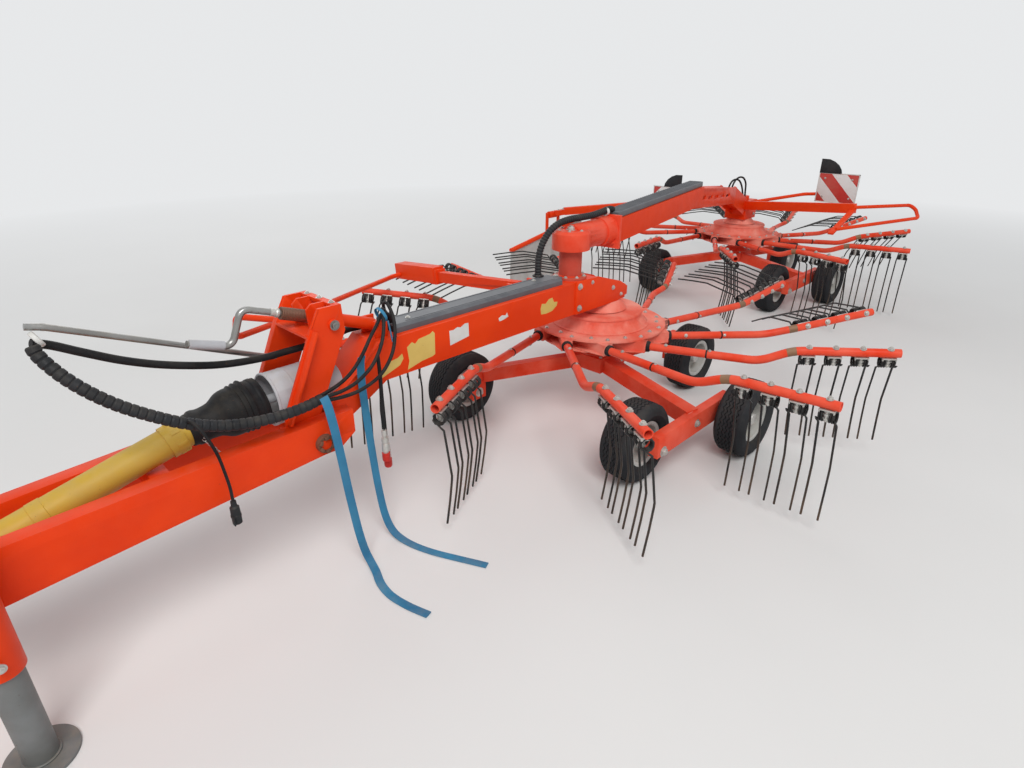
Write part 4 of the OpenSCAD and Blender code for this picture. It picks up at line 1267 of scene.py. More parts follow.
@dataclass
class DriveLine:
    """The yellow guard, the folded boot, the can and the small things on them."""

    narrow: Vector = field(default_factory=lambda: place(0.0, 2.360, 0.7102))
    wide_end: Vector = field(default_factory=lambda: place(0.0, 2.080, 0.742))

    def boot(self) -> None:
        """Make the black boot with its folds and its thin ribs."""
        folds = [(0.048, 0.001), (0.0535, 0.001), (0.0560, 0.006), (0.0565, 0.016), (0.0600, 0.021),
                 (0.0618, 0.026), (0.0618, 0.036), (0.0600, 0.041), (0.0580, 0.050), (0.0575, 0.060),
                 (0.0592, 0.078), (0.0622, 0.094)]
        folds += [(0.0700, 0.108), (0.0765, 0.118), (0.0820, 0.130), (0.0850, 0.144), (0.0862, 0.158)]
        for centre, peak, dip in ((0.174, 0.0905, 0.0855), (0.192, 0.0925, 0.0870), (0.210, 0.0955, 0.0880)):
            folds += [(dip, centre - 0.0065), (peak - 0.0020, centre - 0.0030), (peak, centre),
                      (peak - 0.0020, centre + 0.0030), (dip, centre + 0.0065)]
        folds += [(0.0850, 0.226), (0.0840, 0.236), (0.0862, 0.238), (0.0862, 0.250), (0.0840, 0.252),
                  (0.0835, 0.2615), (0.074, 0.2615), (0.070, 0.200), (0.060, 0.130), (0.048, 0.060)]
        item = Bench.moved(Bench.turned(folds, 72, closed=True), laid(self.narrow, self.wide_end))
        Bench.finished(item, "boot_folds", RUBBER, "drawbar", ("bellows",), 0.9)

    def guard(self) -> None:
        """Make the guard tube's bearing rings with their grip teeth and seam, its blank patch and the thin
        chain.
        """
        seat = laid(self.narrow, place(0.0, 3.380, 0.445))
        ring = Bench.turned([(0.0505, 0.016), (0.0560, 0.017), (0.0570, 0.021), (0.0570, 0.050),
                             (0.0560, 0.054), (0.0505, 0.055)], 48, closed=True)
        grip = []
        for turn in range(8):
            tooth = Bench.block(Vector((0.054, -0.006, 0.020)), Vector((0.0590, 0.006, 0.051)), 0.0012)
            grip.append(Bench.moved(tooth, turn_by(math.pi * 2 * turn / 8, "Z")))
        seam = Bench.turned([(0.0498, 0.430), (0.0520, 0.432), (0.0520, 0.470), (0.0498, 0.472)], 48,
                            closed=True)
        item = Bench.moved(Bench.joined([ring, *grip, seam]), seat)
        Bench.finished(item, "guard_rings", YELLOW, "drawbar")
        patch = Bench.turned([(0.05005, 0.560), (0.0504, 0.560), (0.0504, 0.650), (0.05005, 0.650)], 48,
                             closed=True)
        Bench.finished(Bench.moved(patch, seat), "guard_blank_patch", PALE, "drawbar")
        links = []
        spots = [place(-0.060, 2.330, 0.690), place(-0.085, 2.300, 0.640), place(-0.105, 2.280, 0.606),
                 place(-0.122, 2.262, 0.592)]
        line = even_line(spots, 0.0115)
        for index, (spot, after) in enumerate(zip(line, line[1:])):
            bpy.ops.mesh.primitive_torus_add(major_radius=0.0062, minor_radius=0.0012, major_segments=14,
                                             minor_segments=6)
            link = bpy.context.object
            Bench.moved(link, laid(spot, after) @ turn_by(math.pi / 2 * (index % 2), "Z")
                        @ ALONG_X @ Matrix.Diagonal((1.25, 0.85, 1.0, 1.0)))
            links.append(link)
        Bench.finished(links, "guard_chain", ZINC, "drawbar")

    def can(self) -> None:
        """Make the can's rolled lip, its clamp band, its bead and its bolts."""
        seat = laid(place(0.0, 1.880, 0.730), place(0.0, 2.075, 0.730))
        band = Bench.turned([(0.0975, 0.020), (0.0992, 0.021), (0.0992, 0.046), (0.0975, 0.047)], 64,
                            closed=True)
        bead = Bench.turned([(0.0975, 0.118), (0.0990, 0.121), (0.0990, 0.127), (0.0975, 0.130)], 64,
                            closed=True)
        lip = Bench.turned([(0.0925, 0.190), (0.0925, 0.1968), (0.0965, 0.1985), (0.1000, 0.1965),
                            (0.1005, 0.190), (0.0975, 0.187)], 64, closed=True)
        item = Bench.moved(Bench.joined([lip, band, bead]), seat)
        Bench.finished(item, "can_lips", CAN, "main")
        parts = [bolt(place(0.0985 * math.sin(turn), 1.912, 0.730 + 0.0985 * math.cos(turn)),
                      Vector((math.sin(turn), 0.0, math.cos(turn))), 0.0075, 0.005)
                 for turn in (-1.9, -0.9, 0.0, 0.9, 1.9)]
        Bench.finished(parts, "can_bolts", ZINC, "main")

    def build(self) -> None:
        """Make every piece of the drive line."""
        self.boot()
        self.guard()
        self.can()


@dataclass
class Covers:
    """The dark cable covers on top of both beams."""

    def front(self) -> None:
        """Make the front cover with chamfered edges, a black sheet on its closed front end as painted shade
        of the open mouth, and screws.
        """
        left, right, back, ahead, low, high = -0.060, 0.060, 0.500, 1.535, 0.860, 0.894
        outline = [(left, low), (right, low), (right, high - 0.012), (right - 0.014, high),
                   (left + 0.014, high), (left, high - 0.012)]
        shell = Bench.plate(outline, ahead - back, 0.0015)
        turn = move_by(place(0.0, (back + ahead) / 2, 0.0)) @ turn_by(math.pi / 2, "X")
        Bench.moved(shell, turn)
        ribs = [Bench.block(place(x - 0.003, 0.540, high - 0.0005), place(x + 0.003, 1.470, high + 0.0018),
                            0.0008) for x in (-0.036, 0.036)]
        tab = Bench.block(place(-0.034, 0.470, 0.882), place(0.034, 0.506, 0.889), 0.002)
        Bench.finished([shell, *ribs, tab], "cover_front_shell", COVER, "main", ("cover_f",), 0.5)
        # Painted shade: a thin black sheet on the shell's front end stands in for the dark inside of the
        # cover's open mouth.
        shade_sheet = Bench.block(place(-0.046, 1.5345, 0.8605), place(0.046, 1.5362, 0.886), 0.0006)
        Bench.finished(shade_sheet, "cover_front_shade_sheet", RUBBER, "main")
        screws = [bolt(place(x, y, high + 0.0002), UP, 0.0085, 0.004)
                  for x, y in ((-0.010, 1.440), (0.012, 0.640), (0.0, 0.488))]
        Bench.finished(screws, "cover_front_screws", ZINC, "main")

    def rear(self) -> None:
        """Make the rear cover's shell with its cross ribs."""
        start, end = place(0.026, 0.0, 1.145), place(0.300, -1.416, 1.172)
        run = end - start
        side = Vector((run.y, -run.x, 0.0)).normalized()
        up = side.cross(run.normalized())
        if up.z < 0:
            side, up = -side, -up
        basis = Matrix((side, run.normalized(), up)).transposed().to_4x4()
        seat = move_by(start) @ basis
        length = run.length
        shell = Bench.block(Vector((-0.050, 0.0, -0.017)), Vector((0.050, length, 0.017)), 0.006, 3)
        parts = [shell]
        count = 44
        for index in range(count):
            y = 0.030 + (length - 0.060) * index / (count - 1)
            parts.append(Bench.block(Vector((-0.044, y - 0.005, 0.015)),
                                     Vector((0.044, y + 0.005, 0.0205)), 0.002))
        item = Bench.moved(Bench.joined(parts), seat)
        Bench.finished(item, "cover_rear_shell", COVER, "rear_beam", ("cover_r",), 0.5)

    def build(self) -> None:
        """Make both covers."""
        self.front()
        self.rear()


@dataclass
class Patches:
    """The places of the old stickers, left blank, with their torn edges."""

    plane: float = -0.0903
    outlines: tuple[tuple[Finish, tuple[tuple[float, float], ...]], ...] = (
        (STICKER, (
            (1.512, 0.802), (1.486, 0.818), (1.470, 0.806), (1.452, 0.822), (1.392, 0.829),
            (1.376, 0.838), (1.366, 0.826), (1.369, 0.733), (1.384, 0.727), (1.440, 0.722),
            (1.516, 0.704), (1.505, 0.740),
        )),
        (STICKER, (
            (1.640, 0.742), (1.600, 0.764), (1.560, 0.770), (1.538, 0.782), (1.533, 0.760),
            (1.552, 0.736), (1.600, 0.720), (1.645, 0.706),
        )),
        (STICKER, (
            (0.700, 0.782), (0.690, 0.806), (0.662, 0.800), (0.640, 0.818), (0.612, 0.822),
            (0.600, 0.796), (0.572, 0.792), (0.578, 0.772), (0.612, 0.752), (0.660, 0.748),
            (0.694, 0.752),
        )),
        (PALE, (
            (1.286, 0.816), (1.262, 0.814), (1.240, 0.822), (1.222, 0.816), (1.196, 0.828),
            (1.176, 0.826), (1.174, 0.764), (1.284, 0.748),
        )),
        (PALE, (
            (0.990, 0.802), (0.968, 0.812), (0.944, 0.806), (0.934, 0.818), (0.926, 0.796),
            (0.958, 0.788), (0.984, 0.786),
        )),
    )

    def build(self) -> None:
        """Lay the blank patches on the beam's left side."""
        turn = Matrix(((0.0, 0.0, -1.0, 0.0), (1.0, 0.0, 0.0, 0.0), (0.0, 1.0, 0.0, 0.0),
                       (0.0, 0.0, 0.0, 1.0)))
        for index, (finish, outline) in enumerate(self.outlines, 1):
            item = Bench.plate(list(outline), 0.0008, 0.0002)
            Bench.moved(item, move_by(place(self.plane, 0.0, 0.0)) @ turn)
            Bench.finished(item, f"blank_patch_{index}", finish, "main")


@dataclass
class Fasteners:
    """Bolts, nuts and weld beads all over the frame."""

    def heads(self, name: str, body: str, rows: list[tuple[float, float, float, str, float]]) -> None:
        """Make a group of bolt heads.

        Args:
            name: The piece's name.
            body: The body they ride on.
            rows: Place, the side they face and half their width, of each.
        """
        ways = {"-x": (-1, 0, 0), "+x": (1, 0, 0), "+y": (0, 1, 0), "+z": (0, 0, 1)}
        parts = [bolt(place(x, y, z), Vector(ways[way]), size, size * 0.6) for x, y, z, way, size in rows]
        Bench.finished(parts, name, ZINC, body)

    def main_bolts(self) -> None:
        """Bolt the cheeks, the post's foot and the covers' brackets."""
        rows = []
        for side, way in ((-1, "-x"), (1, "+x")):
            x = side * 0.1002
            rows += [(x, 0.405, 0.838, way, 0.013), (x, 0.405, 0.722, way, 0.013),
                     (x, 0.300, 0.842, way, 0.008), (x, 0.110, 0.776, way, 0.010),
                     (x, 0.030, 0.724, way, 0.008)]
        for turn in range(8):
            angle = math.pi / 8 + math.pi / 4 * turn
            rows.append((0.076 * math.cos(angle), 0.370 + 0.076 * math.sin(angle), 0.878, "+z", 0.008))
        self.heads("main_bolts", "main", rows)

    def drawbar_bolts(self) -> None:
        """Bolt the tower's feet and the drawbar's front block."""
        rows = []
        for side, way in ((-1, "-x"), (1, "+x")):
            rows += [(side * 0.1602, 1.940, 0.620, way, 0.010), (side * 0.1602, 1.985, 0.620, way, 0.010)]
        rows += [(x, 3.990, z, "+y", 0.011) for x in (-0.070, 0.070) for z in (0.455, 0.555)]
        rows += [(x, 3.400, 0.3800, "+z", 0.008) for x in (-0.045, 0.045)]
        rows += [(x, 1.821, 1.058, "+z", 0.009) for x in (-0.085, 0.0, 0.085)]
        self.heads("drawbar_bolts", "drawbar", rows)

    def rear_bolts(self) -> None:
        """Bolt the rear frame's head, its stub housing and its knuckle."""
        rows = [(0.596, -3.140, z, "-x", 0.010) for z in (0.730, 0.830)]
        rows += [(0.804, -3.140, z, "+x", 0.010) for z in (0.730, 0.830)]
        rows += [(0.0, 0.370, 1.114, "+z", 0.022)]
        for turn in range(6):
            angle = math.pi / 3 * turn
            rows.append((0.066 * math.cos(angle), 0.370 + 0.066 * math.sin(angle), 1.114, "+z", 0.007))
        rows += [(1.695, y, 0.8202, "+z", 0.009) for y in (-1.580, -1.520)]
        self.heads("rear_bolts", "rear_beam", rows)

    def pivot_nuts(self) -> None:
        """Make the pivot's reddish bored ends with their castle nuts."""
        parts = []
        for side in (-1, 1):
            seat = move_by(place(side * 0.196, 1.970, 0.580)) @ turn_by(math.pi / 2 * side, "Y")
            collar = Bench.turned([(0.0343, -0.030), (0.0352, -0.028), (0.0352, -0.004), (0.0335, 0.0020),
                                   (0.0215, 0.0020), (0.0205, -0.010), (0.0010, -0.010)], 40)
            parts.append(Bench.moved(collar, seat))
            for turn in range(6):
                tooth = Bench.block(Vector((0.0205, -0.0085, 0.0015)), Vector((0.0320, 0.0085, 0.0110)),
                                    0.0012)
                parts.append(Bench.moved(tooth, seat @ turn_by(math.pi / 3 * turn, "Z")))
        Bench.finished(parts, "pivot_ends", BROWN, "drawbar", angle=0.4)

    def beads(self) -> None:
        """Weld the cheeks, the post's foot, the drawbar's webs and the tower."""
        main_parts = []
        for side in (-1, 1):
            x = side * 0.0915
            main_parts.append(weld([place(x, 0.4315, 0.692), place(x, 0.4315, 0.858)]))
            main_parts.append(weld([place(side * 0.0905, 1.640, 0.8585), place(side * 0.0905, 1.738, 0.770),
                                    place(side * 0.0905, 1.955, 0.618)]))
        main_parts += [weld(circle(place(0.0, 0.370, 0.8615), 0.0895, 40)),
                       weld(circle(place(0.0, 0.370, 0.8795), 0.0615, 32))]
        Bench.finished(main_parts, "main_welds", ORANGE, "main", angle=1.2)
        bar_parts = []
        for side in (-1, 1):
            bar_parts.append(weld([place(side * 0.124, 1.932, 0.9955), place(side * 0.124, 1.898, 1.0555)]))
            bar_parts.append(weld([place(side * 0.1225, 1.920, 0.6405), place(side * 0.1225, 2.004, 0.6405)]))
            bar_parts.append(weld([place(side * 0.112, 1.885, 0.9690), place(side * 0.112, 1.948, 0.9690)]))
        bar_parts.append(weld(circle(place(-0.262, 3.0, 0.5915), 0.0545, 32)))
        Bench.finished(bar_parts, "drawbar_welds", ORANGE, "drawbar", angle=1.2)

    def build(self) -> None:
        """Make every fastener and weld."""
        self.main_bolts()
        self.drawbar_bolts()
        self.rear_bolts()
        self.pivot_nuts()
        self.beads()


@dataclass
class TowerParts:
    """The spindle's brown thread, the crank's grip and collar, and the trunnion's bolts."""

    def build(self) -> None:
        """Make each small piece near the tower."""
        start, end = place(0.0, 1.864, 0.9960), place(0.0, 1.9765, 1.0344)
        seat = laid(start, end)
        length = (end - start).length
        profile = [(0.0219, 0.0)]
        count = 20
        for index in range(count):
            z = length * (index + 0.5) / count
            profile += [(0.0221, z - 0.0022), (0.0232, z - 0.0008), (0.0232, z + 0.0008),
                        (0.0221, z + 0.0022)]
        profile += [(0.0219, length), (0.0130, length + 0.0006)]
        thread = Bench.moved(Bench.turned(profile, 32), seat)
        Bench.finished(thread, "spindle_thread", BROWN, "spindle", angle=0.3)
        grip = [place(0.0, 2.185, 0.9690), place(0.0, 2.299, 1.0046)]
        sleeve = Bench.turned([(0.0122, 0.0), (0.0150, 0.002), (0.0156, 0.010), (0.0156, 0.105),
                               (0.0150, 0.113), (0.0122, 0.115)], 28, closed=True)
        Bench.moved(sleeve, laid(*grip))
        Bench.finished(sleeve, "crank_grip", CAN, "crank")
        collar = Bench.turned([(0.0121, 0.0), (0.0165, 0.001), (0.0168, 0.008), (0.0140, 0.012),
                               (0.0140, 0.030), (0.0121, 0.031)], 28, closed=True)
        Bench.moved(collar, move_by(place(0.0, 1.984, 1.0369)) @ seat.to_quaternion().to_matrix().to_4x4())
        Bench.finished(collar, "crank_collar", ZINC, "crank")
        nuts = [bolt(place(side * 0.0552, 1.846, 0.990), Vector((side, 0.0, 0.0)), 0.017, 0.010)
                for side in (-1, 1)]
        caps = [bolt(place(side * 0.1352, 1.846, 0.990), Vector((side, 0.0, 0.0)), 0.014, 0.008)
                for side in (-1, 1)]
        Bench.finished(nuts + caps, "trunnion_bolts", STEEL, "drawbar")


@dataclass
class SmallParts:
    """Pins, collars, nuts and screws on the hitch, the jack, the chassis and the rear frame."""

    def ring(self, spot: Vector, way: str, inner: float, outer: float, high: float) -> Item:
        """Make a flat ring with soft edges that faces along X, Y or Z."""
        soft = min(0.0015, high / 3)
        item = Bench.turned([(inner, 0.0), (outer - soft, 0.0), (outer, soft), (outer, high - soft),
                             (outer - soft, high), (inner, high)], 40, closed=True)
        turns = {"x": ALONG_X, "y": turn_by(-math.pi / 2, "X"),
                 "z": Matrix.Identity(4)}
        return Bench.moved(item, move_by(spot) @ turns[way])

    def hitch(self) -> None:
        """Make the lower link pins' collars and ring pins."""
        parts = []
        for side in (-1, 1):
            parts.append(self.ring(place(side * 0.4165 - 0.004, 4.125, 0.4805), "x", 0.0142, 0.026, 0.008))
            parts.append(Bench.rod(place(side * 0.486, 4.125, 0.460), place(side * 0.486, 4.125, 0.506),
                                   0.0045, 12, 0.0008))
            bpy.ops.mesh.primitive_torus_add(major_radius=0.019, minor_radius=0.0016, major_segments=32,
                                             minor_segments=8, rotation=(0.0, math.pi / 2, 0.0))
            loop = bpy.context.object
            Bench.settle(loop)
            parts.append(Bench.moved(loop, move_by(place(side * 0.486, 4.125, 0.520))))
        parts.append(bolt(place(0.0, 4.030, 0.640), UP, 0.019, 0.010))
        Bench.finished(parts, "link_pins", ZINC, "headstock")

    def jack(self) -> None:
        """Make the jack's pin, its sleeve's cap and the foot's weld."""
        weld_ring = self.ring(place(-0.262, 3.0, 0.0100), "z", 0.0442, 0.0500, 0.006)
        Bench.finished(weld_ring, "jack_weld", GREY, "jack")
        pin = [Bench.rod(place(-0.335, 3.0, 0.400), place(-0.310, 3.0, 0.400), 0.0070, 16, 0.0010),
               Bench.rod(place(-0.214, 3.0, 0.400), place(-0.195, 3.0, 0.400), 0.0070, 16, 0.0010),
               bolt(place(-0.330, 3.0, 0.400), Vector((-1.0, 0.0, 0.0)), 0.011, 0.006)]
        Bench.finished(pin, "jack_pin", ZINC, "drawbar")
        cap = self.ring(place(-0.262, 3.0, 0.7700), "z", 0.0010, 0.0530, 0.004)
        Bench.finished(cap, "jack_cap", ORANGE, "drawbar")

    def chassis(self, key: str, body: str, axis: Vector) -> None:
        """Make the pedestal's flange bolts, the axle nuts and the welds of one chassis.

        Args:
            key: What the pieces' names start with.
            body: The chassis's body.
            axis: The rotor's axis on the ground.
        """
        parts = []
        for side in (-1, 1):
            for spot in (-0.085, 0.105):
                parts.append(bolt(axis + Vector((side * 0.1002, spot, 0.375)), UP, 0.009, 0.006))
        parts.append(bolt(axis + Vector((-0.7800, 0.195, 0.240)), Vector((-1, 0, 0)), 0.016, 0.010))
        for x, y, way in ((0.328, 0.660, -1), (-0.780, 0.500, -1), (-0.730, -0.110, 1), (-0.082, -0.680, 1)):
            parts.append(bolt(axis + Vector((x, y, WHEEL_RADIUS)), Vector((way, 0, 0)), 0.020, 0.012))
        Bench.finished(parts, f"{key}_chassis_bolts", ZINC, body)
        beads = []
        beads.append(weld([axis + Vector((-0.7465, 0.158, 0.2925)), axis + Vector((-0.7465, 0.234, 0.2925))]))
        for y in (0.148, 0.236):
            beads.append(weld([axis + Vector((-0.7295, y, 0.226)), axis + Vector((-0.7295, y, 0.290))]))
        beads.append(weld(circle(axis + Vector((0.0, 0.0, 0.377)), 0.1185, 48)))
        beads.append(weld([axis + Vector((0.3275, 0.600, 0.262)), axis + Vector((0.3275, 0.600, 0.330))]))
        Bench.finished(beads, f"{key}_chassis_welds", HUB_PAINT, body, angle=1.2)

    def rear(self) -> None:
        """Make the swivel's grease nipples, the hoses' collar and the ferrules on the rotor head."""
        nipples = [Bench.rod(place(x, y, z), place(x, y, z + 0.012), 0.0035, 10, 0.0008)
                   for x, y, z in ((0.043, 0.304, 1.112), (-0.043, 0.436, 1.112))]
        Bench.finished(nipples, "swivel_nipples", ZINC, "rear_beam")
        collar = self.ring(place(0.056, 0.560, 0.8935), "z", 0.0182, 0.0300, 0.006)
        Bench.finished(collar, "rear_hose_collar", RUBBER, "main")
        ferrules = []
        for (x, y, z) in ((0.650, -2.700, 0.878), (0.680, -2.700, 0.878), (0.646, -3.010, 0.861),
                          (0.664, -3.010, 0.861)):
            ferrules.append(self.ring(place(x, y, z), "z", 0.0010, 0.0108, 0.014))
        Bench.finished(ferrules, "head_hose_ferrules", ZINC, "rear_beam")

    def build(self) -> None:
        """Make all the small parts."""
        self.hitch()
        self.jack()
        self.chassis("front", "main", FRONT_AXIS)
        self.chassis("rear", "chassis_rear", REAR_AXIS)
        self.rear()


@dataclass(frozen=True)
class Stripes(Finish):
    """A pale sheet with red stripes that slant one way, a little faded."""

    red: Colour = (0.50, 0.030, 0.022)
    pitch: float = 0.270
    start: float = 1.106
    way: float = 1.0

    def build(self) -> bpy.types.Material:
        """Make the striped material, or give the one that is there."""
        made = bpy.data.materials.get(self.name)
        if made:
            return made
        nodes = Nodes(self.name)
        split = nodes.add("SeparateXYZ")
        nodes.join(nodes.coords.outputs["Object"], split.inputs[0])
        slant = nodes.math("ADD", nodes.math("MULTIPLY", split.outputs["X"], self.way), split.outputs["Z"])
        slant = nodes.math("SUBTRACT", slant, self.start)
        share = nodes.math("FRACT", nodes.math("MULTIPLY", slant, 1.0 / self.pitch))
        band = nodes.math("GREATER_THAN", share, 0.5)
        colour = nodes.mix(band, self.colour, self.red)
        grime = nodes.ramp(nodes.noise(self.scale, 5.0, 0.65), 0.45, 0.85)
        colour = nodes.mix(nodes.math("MULTIPLY", grime, self.dust_share), colour, self.dust)
        nodes.join(colour, nodes.shader.inputs["Base Color"])
        nodes.shader.inputs["Roughness"].default_value = self.roughness
        return nodes.material


STRIPES_LEFT = Stripes("stripes_left", "warning_panel", (0.72, 0.71, 0.69), (0.5, 0.5, 0.5), 0.45,
                       dust_share=0.25, way=-1.0)
STRIPES_RIGHT = replace(STRIPES_LEFT, name="stripes_right", way=1.0, start=1.983)


@dataclass
class Panels:
    """The striped warning panels at the back."""

    def build(self) -> None:
        """Make each panel with its folded edge and its screws."""
        for name, low, high, finish in (
            ("panel_left", (-0.170, -3.540, 0.846), (0.190, -3.528, 1.112), STRIPES_LEFT),
            ("panel_right", (1.280, -3.012, 0.706), (1.650, -3.000, 0.918), STRIPES_RIGHT),
        ):
            sheet = Bench.block(place(*low) + Vector((0, 0.003, 0)), place(*high) - Vector((0, 0.003, 0)),
                                0.0015)
            Bench.finished(sheet, f"{name}_sheet", finish, "rear_beam", ("panels",))
            rim = []
            for z in (low[2], high[2] - 0.008):
                rim.append(Bench.block(place(low[0], low[1], z), place(high[0], high[1], z + 0.008), 0.0015))
            for x in (low[0], high[0] - 0.008):
                rim.append(Bench.block(place(x, low[1], low[2]), place(x + 0.008, high[1], high[2]), 0.0015))
            Bench.finished(rim, f"{name}_rim", PALE, "rear_beam")
            screws = [bolt(place(x, high[1] - 0.003, z), Vector((0, 1, 0)), 0.007, 0.004)
                      for x in (low[0] + 0.06, high[0] - 0.06) for z in (low[2] + 0.05, high[2] - 0.05)]
            Bench.finished(screws, f"{name}_screws", ZINC, "rear_beam")


@dataclass
class Curtain:
    """The white swath curtain that hangs from the right rear bar."""

    top: tuple[tuple[float, float], ...] = ((-0.960, 0.520), (-1.930, 0.700))
    low: tuple[tuple[float, float], ...] = ((-0.960, 0.090), (-1.930, 0.250))
    middle: float = 1.750
    across: int = 120
    down: int = 56

    def spot(self, along: float, fall: float) -> Vector:
        """Find a point of the cloth.

        Args:
            along: Share of the way from the front edge to the back.
            fall: Share of the way from the bar to the hem.

        Returns:
            The point in the shared frame, with the folds' depth.
        """
        y = self.top[0][0] + (self.top[1][0] - self.top[0][0]) * along
        high = self.top[0][1] + (self.top[1][1] - self.top[0][1]) * along
        low = self.low[0][1] + (self.low[1][1] - self.low[0][1]) * along
        wave = math.sin(along * 31.0 + 0.8 * math.sin(fall * 2.2)) + 0.5 * math.sin(along * 53.0 + 1.3)
        sag = 0.011 * fall ** 0.8 * wave + 0.004 * math.sin(fall * 7.0 + along * 9.0) * fall
        return place(self.middle + sag, y, high + (low - high) * fall)

    def build(self) -> None:
        """Make the cloth, its hems and its rings."""
        Bench.clear()
        bpy.ops.mesh.primitive_grid_add(x_subdivisions=self.across, y_subdivisions=self.down, size=1.0)
        cloth = bpy.context.object
        for vertex in cloth.data.vertices:
            vertex.co = self.spot(vertex.co.x + 0.5, 0.5 - vertex.co.y)
        Bench.modify(cloth, "SOLIDIFY", thickness=0.0024, offset=0.0)
        Bench.finished(cloth, "curtain_cloth", SHEET, "curtain", ("curtain",), 1.2)
        hems = []
        for fall in (0.012, 0.965):
            line = [self.spot(index / 140, fall) for index in range(141)]
            hems.append(swept(line, 0.0062, 0.022, Vector((1.0, 0.0, 0.0)), 8))
        for along in (0.006, 0.994):
            line = [self.spot(along, index / 50) for index in range(51)]
            hems.append(swept(line, 0.0060, 0.016, Vector((1.0, 0.0, 0.0)), 8))
        hem = Bench.finished(hems, "curtain_hems", SHEET, "curtain", angle=1.0)
        ring = Bench.turned([(0.006, -0.0032), (0.0115, -0.0032), (0.0120, 0.0), (0.0115, 0.0032),
                             (0.006, 0.0032)], 20, closed=True)
        rings = Bench.copies(ring, [move_by(self.spot(0.04 + 0.115 * index, 0.035)) @ ALONG_X
                                    for index in range(9)])
        Bench.finished(rings, "curtain_rings", ZINC, "curtain")


class NodeFinishes:
    """Gives each CAD node its finish."""

    by_start: tuple[tuple[Finish, tuple[str, ...]], ...] = (
        (TYRE, ("tyre_",)),
        (RIM, ("rim_",)),
        (HUB_PAINT, ("rotor_f_hub", "rotor_r_hub")),
        (WIRE, ("rotor_f_tines", "rotor_r_tines")),
        (ZINC, ("rotor_f_clamps", "rotor_r_clamps")),
        (POST_PAINT, ("post",)),
        (COVER, ("cover_",)),
        (YELLOW, ("power_shaft",)),
        (CAN, ("shaft_can",)),
        (STEEL, ("yoke", "hose_rod", "crank")),
        (RUBBER, ("bellows", "hose_", "lead", "drop_hoses", "rear_hoses")),
        (BLUE, ("straps",)),
        (GREY, ("jack_leg",)),
        (ORANGE, ("curtain_bar", "panel_arms")),
        (SHEET, ("curtain",)),
        (BLACK_PLASTIC, ("panel_fins",)),
        (PALE, ("panels",)),
    )

    def finish_of(self, node: str) -> Finish:
        """Find the finish of a node by the start of its name, the first that fits."""
        return next((finish for finish, starts in self.by_start if node.startswith(starts)), ORANGE)

    def dress(self, frame: dict) -> None:
        """Put the finishes on the CAD nodes.
        """
        for name, item in frame["nodes"].items():
            item.data.materials.clear()
            item.data.materials.append(self.finish_of(name).build())


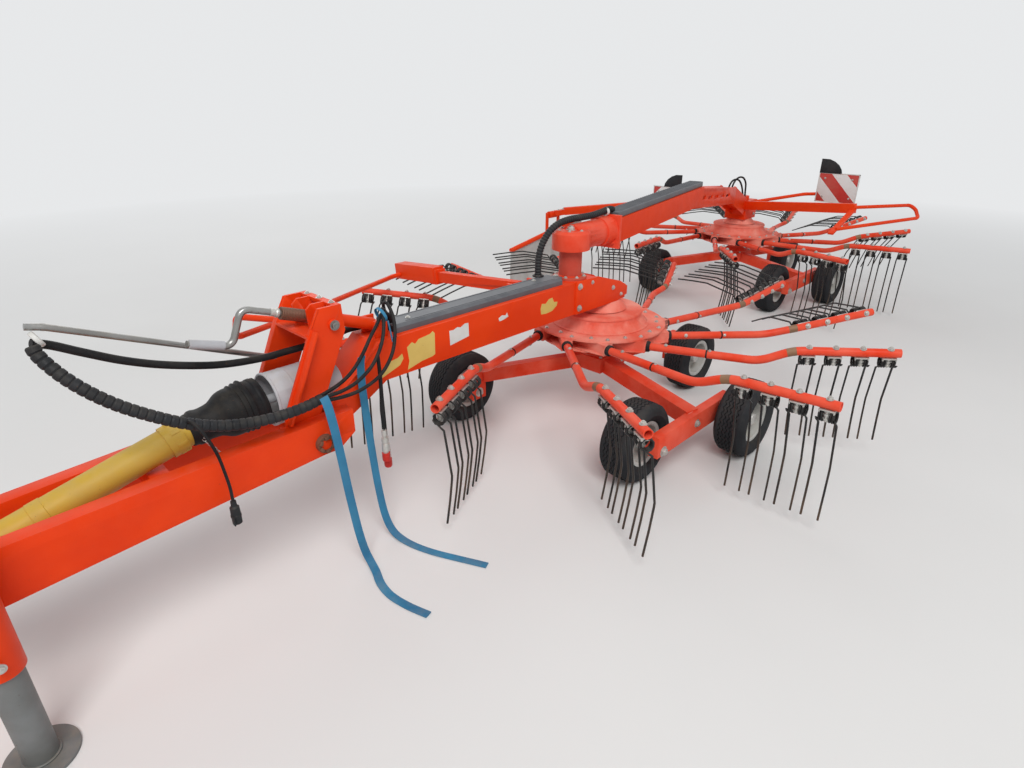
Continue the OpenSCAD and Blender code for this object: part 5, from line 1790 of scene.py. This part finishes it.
@dataclass(frozen=True)
class Studio:
    """The camera, lamps, floor and world."""

    eye: tuple[float, float, float] = (-2.403, 3.121, 1.712)
    azimuth: float = 44.46
    pitch: float = 0.426
    focal_px: float = 621.0
    width_px: float = 1024.0
    sensor: float = 36.0
    floor_size: float = 120.0
    fade_start: float = 3.5
    fade_end: float = 11.0
    sky: Colour = (0.80, 0.81, 0.82)

    def camera(self) -> None:
        """Set the camera where the photograph was taken from."""
        data = bpy.data.cameras.new("camera")
        camera = Bench.linked("camera", data)
        data.sensor_width = self.sensor
        data.lens = self.sensor * self.focal_px / self.width_px
        data.clip_end = 200.0
        turn = math.radians(self.azimuth)
        ahead = Vector((math.sin(turn), -math.cos(turn), 0.0))
        right = Vector((ahead.y, -ahead.x, 0.0))
        look = ahead * math.cos(self.pitch) + Vector((0.0, 0.0, -math.sin(self.pitch)))
        up = right.cross(look)
        basis = Matrix((right, up, -look)).transposed().to_4x4()
        camera.matrix_world = move_by(self.eye) @ basis
        bpy.context.scene.camera = camera

    def floor(self) -> None:
        """Lay the plain pale floor."""
        bpy.ops.mesh.primitive_plane_add(size=self.floor_size, location=(0.0, 0.0, -0.0005))
        floor = bpy.context.object
        floor.name = "floor"
        nodes = Nodes("floor_paint")
        grain = nodes.mix(nodes.ramp(nodes.noise(0.4, 4.0), 0.3, 0.7), (0.78, 0.77, 0.75), (0.74, 0.73, 0.71))
        nodes.join(grain, nodes.shader.inputs["Base Color"])
        nodes.shader.inputs["Roughness"].default_value = 0.9
        split = nodes.add("SeparateXYZ")
        nodes.join(nodes.coords.outputs["Object"], split.inputs[0])
        squares = [nodes.math("MULTIPLY", split.outputs[way], split.outputs[way]) for way in "XY"]
        far = nodes.math("SQRT", nodes.math("ADD", *squares))
        glow = nodes.add("Emission")
        glow.inputs["Color"].default_value = (*self.sky, 1.0)
        blend = nodes.add("MixShader")
        nodes.join(nodes.ramp(far, self.fade_start, self.fade_end), blend.inputs[0])
        nodes.join(nodes.shader.outputs["BSDF"], blend.inputs[1])
        nodes.join(glow.outputs["Emission"], blend.inputs[2])
        nodes.join(blend.outputs["Shader"], nodes.output.inputs["Surface"])
        floor.data.materials.append(nodes.material)

    def lamps(self) -> None:
        """Hang one broad key lamp and one soft fill."""
        for name, spot, aim, size, power in (
            ("key", (-6.0, 5.5, 9.0), (0.0, -0.5, 0.4), 5.0, 760.0),
            ("fill", (8.0, -2.0, 7.0), (0.0, -0.5, 0.4), 8.0, 260.0),
        ):
            data = bpy.data.lights.new(name, "AREA")
            data.size = size
            data.energy = power
            lamp = Bench.linked(name, data)
            lamp.location = spot
            lamp.rotation_euler = (Vector(aim) - Vector(spot)).to_track_quat("-Z", "Y").to_euler()

    def world(self) -> None:
        """Light everything evenly and show a pale background to the camera."""
        world = bpy.data.worlds.new("studio")
        bpy.context.scene.world = world
        world.use_nodes = True
        tree = world.node_tree
        tree.nodes.clear()
        output = tree.nodes.new("ShaderNodeOutputWorld")
        mix = tree.nodes.new("ShaderNodeMixShader")
        for index, (tint, strength) in enumerate((((0.93, 0.96, 1.0), 0.46), (self.sky, 1.0)), 1):
            light = tree.nodes.new("ShaderNodeBackground")
            light.inputs["Color"].default_value = (*tint, 1.0)
            light.inputs["Strength"].default_value = strength
            tree.links.new(light.outputs[0], mix.inputs[index])
        path = tree.nodes.new("ShaderNodeLightPath")
        seen = path.outputs["Is Camera Ray"]
        for ray in ("Is Glossy Ray", "Is Transmission Ray"):
            either = tree.nodes.new("ShaderNodeMath")
            either.operation = "MAXIMUM"
            tree.links.new(seen, either.inputs[0])
            tree.links.new(path.outputs[ray], either.inputs[1])
            seen = either.outputs[0]
        tree.links.new(seen, mix.inputs[0])
        tree.links.new(mix.outputs[0], output.inputs["Surface"])

    def build(self) -> None:
        """Set up the whole studio."""
        bpy.context.scene.view_settings.view_transform = "Standard"
        self.camera()
        self.floor()
        self.lamps()
        self.world()


def wheels() -> list[Wheel]:
    """List the eight wheels with their tyre nodes, centres and outer sides."""
    made = []
    for key, spots in WHEEL_SPOTS.items():
        for index, (x, y, outward) in enumerate(spots, 1):
            made.append(Wheel(f"wheel_{key}{index}", f"tyre_{key}{index}", place(x, y, WHEEL_RADIUS),
                              outward))
    return made


def main() -> None:
    """Build the scene in order."""
    logging.basicConfig(level=logging.INFO, format="%(message)s")
    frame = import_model()
    Studio().build()
    NodeFinishes().dress(frame)
    for wheel in wheels():
        wheel.build()
    Rotor("rotor_f", "rotor_front", FRONT_AXIS, FRONT_ARMS).build()
    Rotor("rotor_r", "rotor_rear", REAR_AXIS, REAR_ARMS).build()
    Hoses().build()
    for node, finish in SOFTENED.items():
        softened(frame, node, finish)
    for group in (DriveLine, Covers, Patches, Fasteners, TowerParts, SmallParts, Panels, Curtain):
        group().build()


if __name__ == "__main__":
    main()
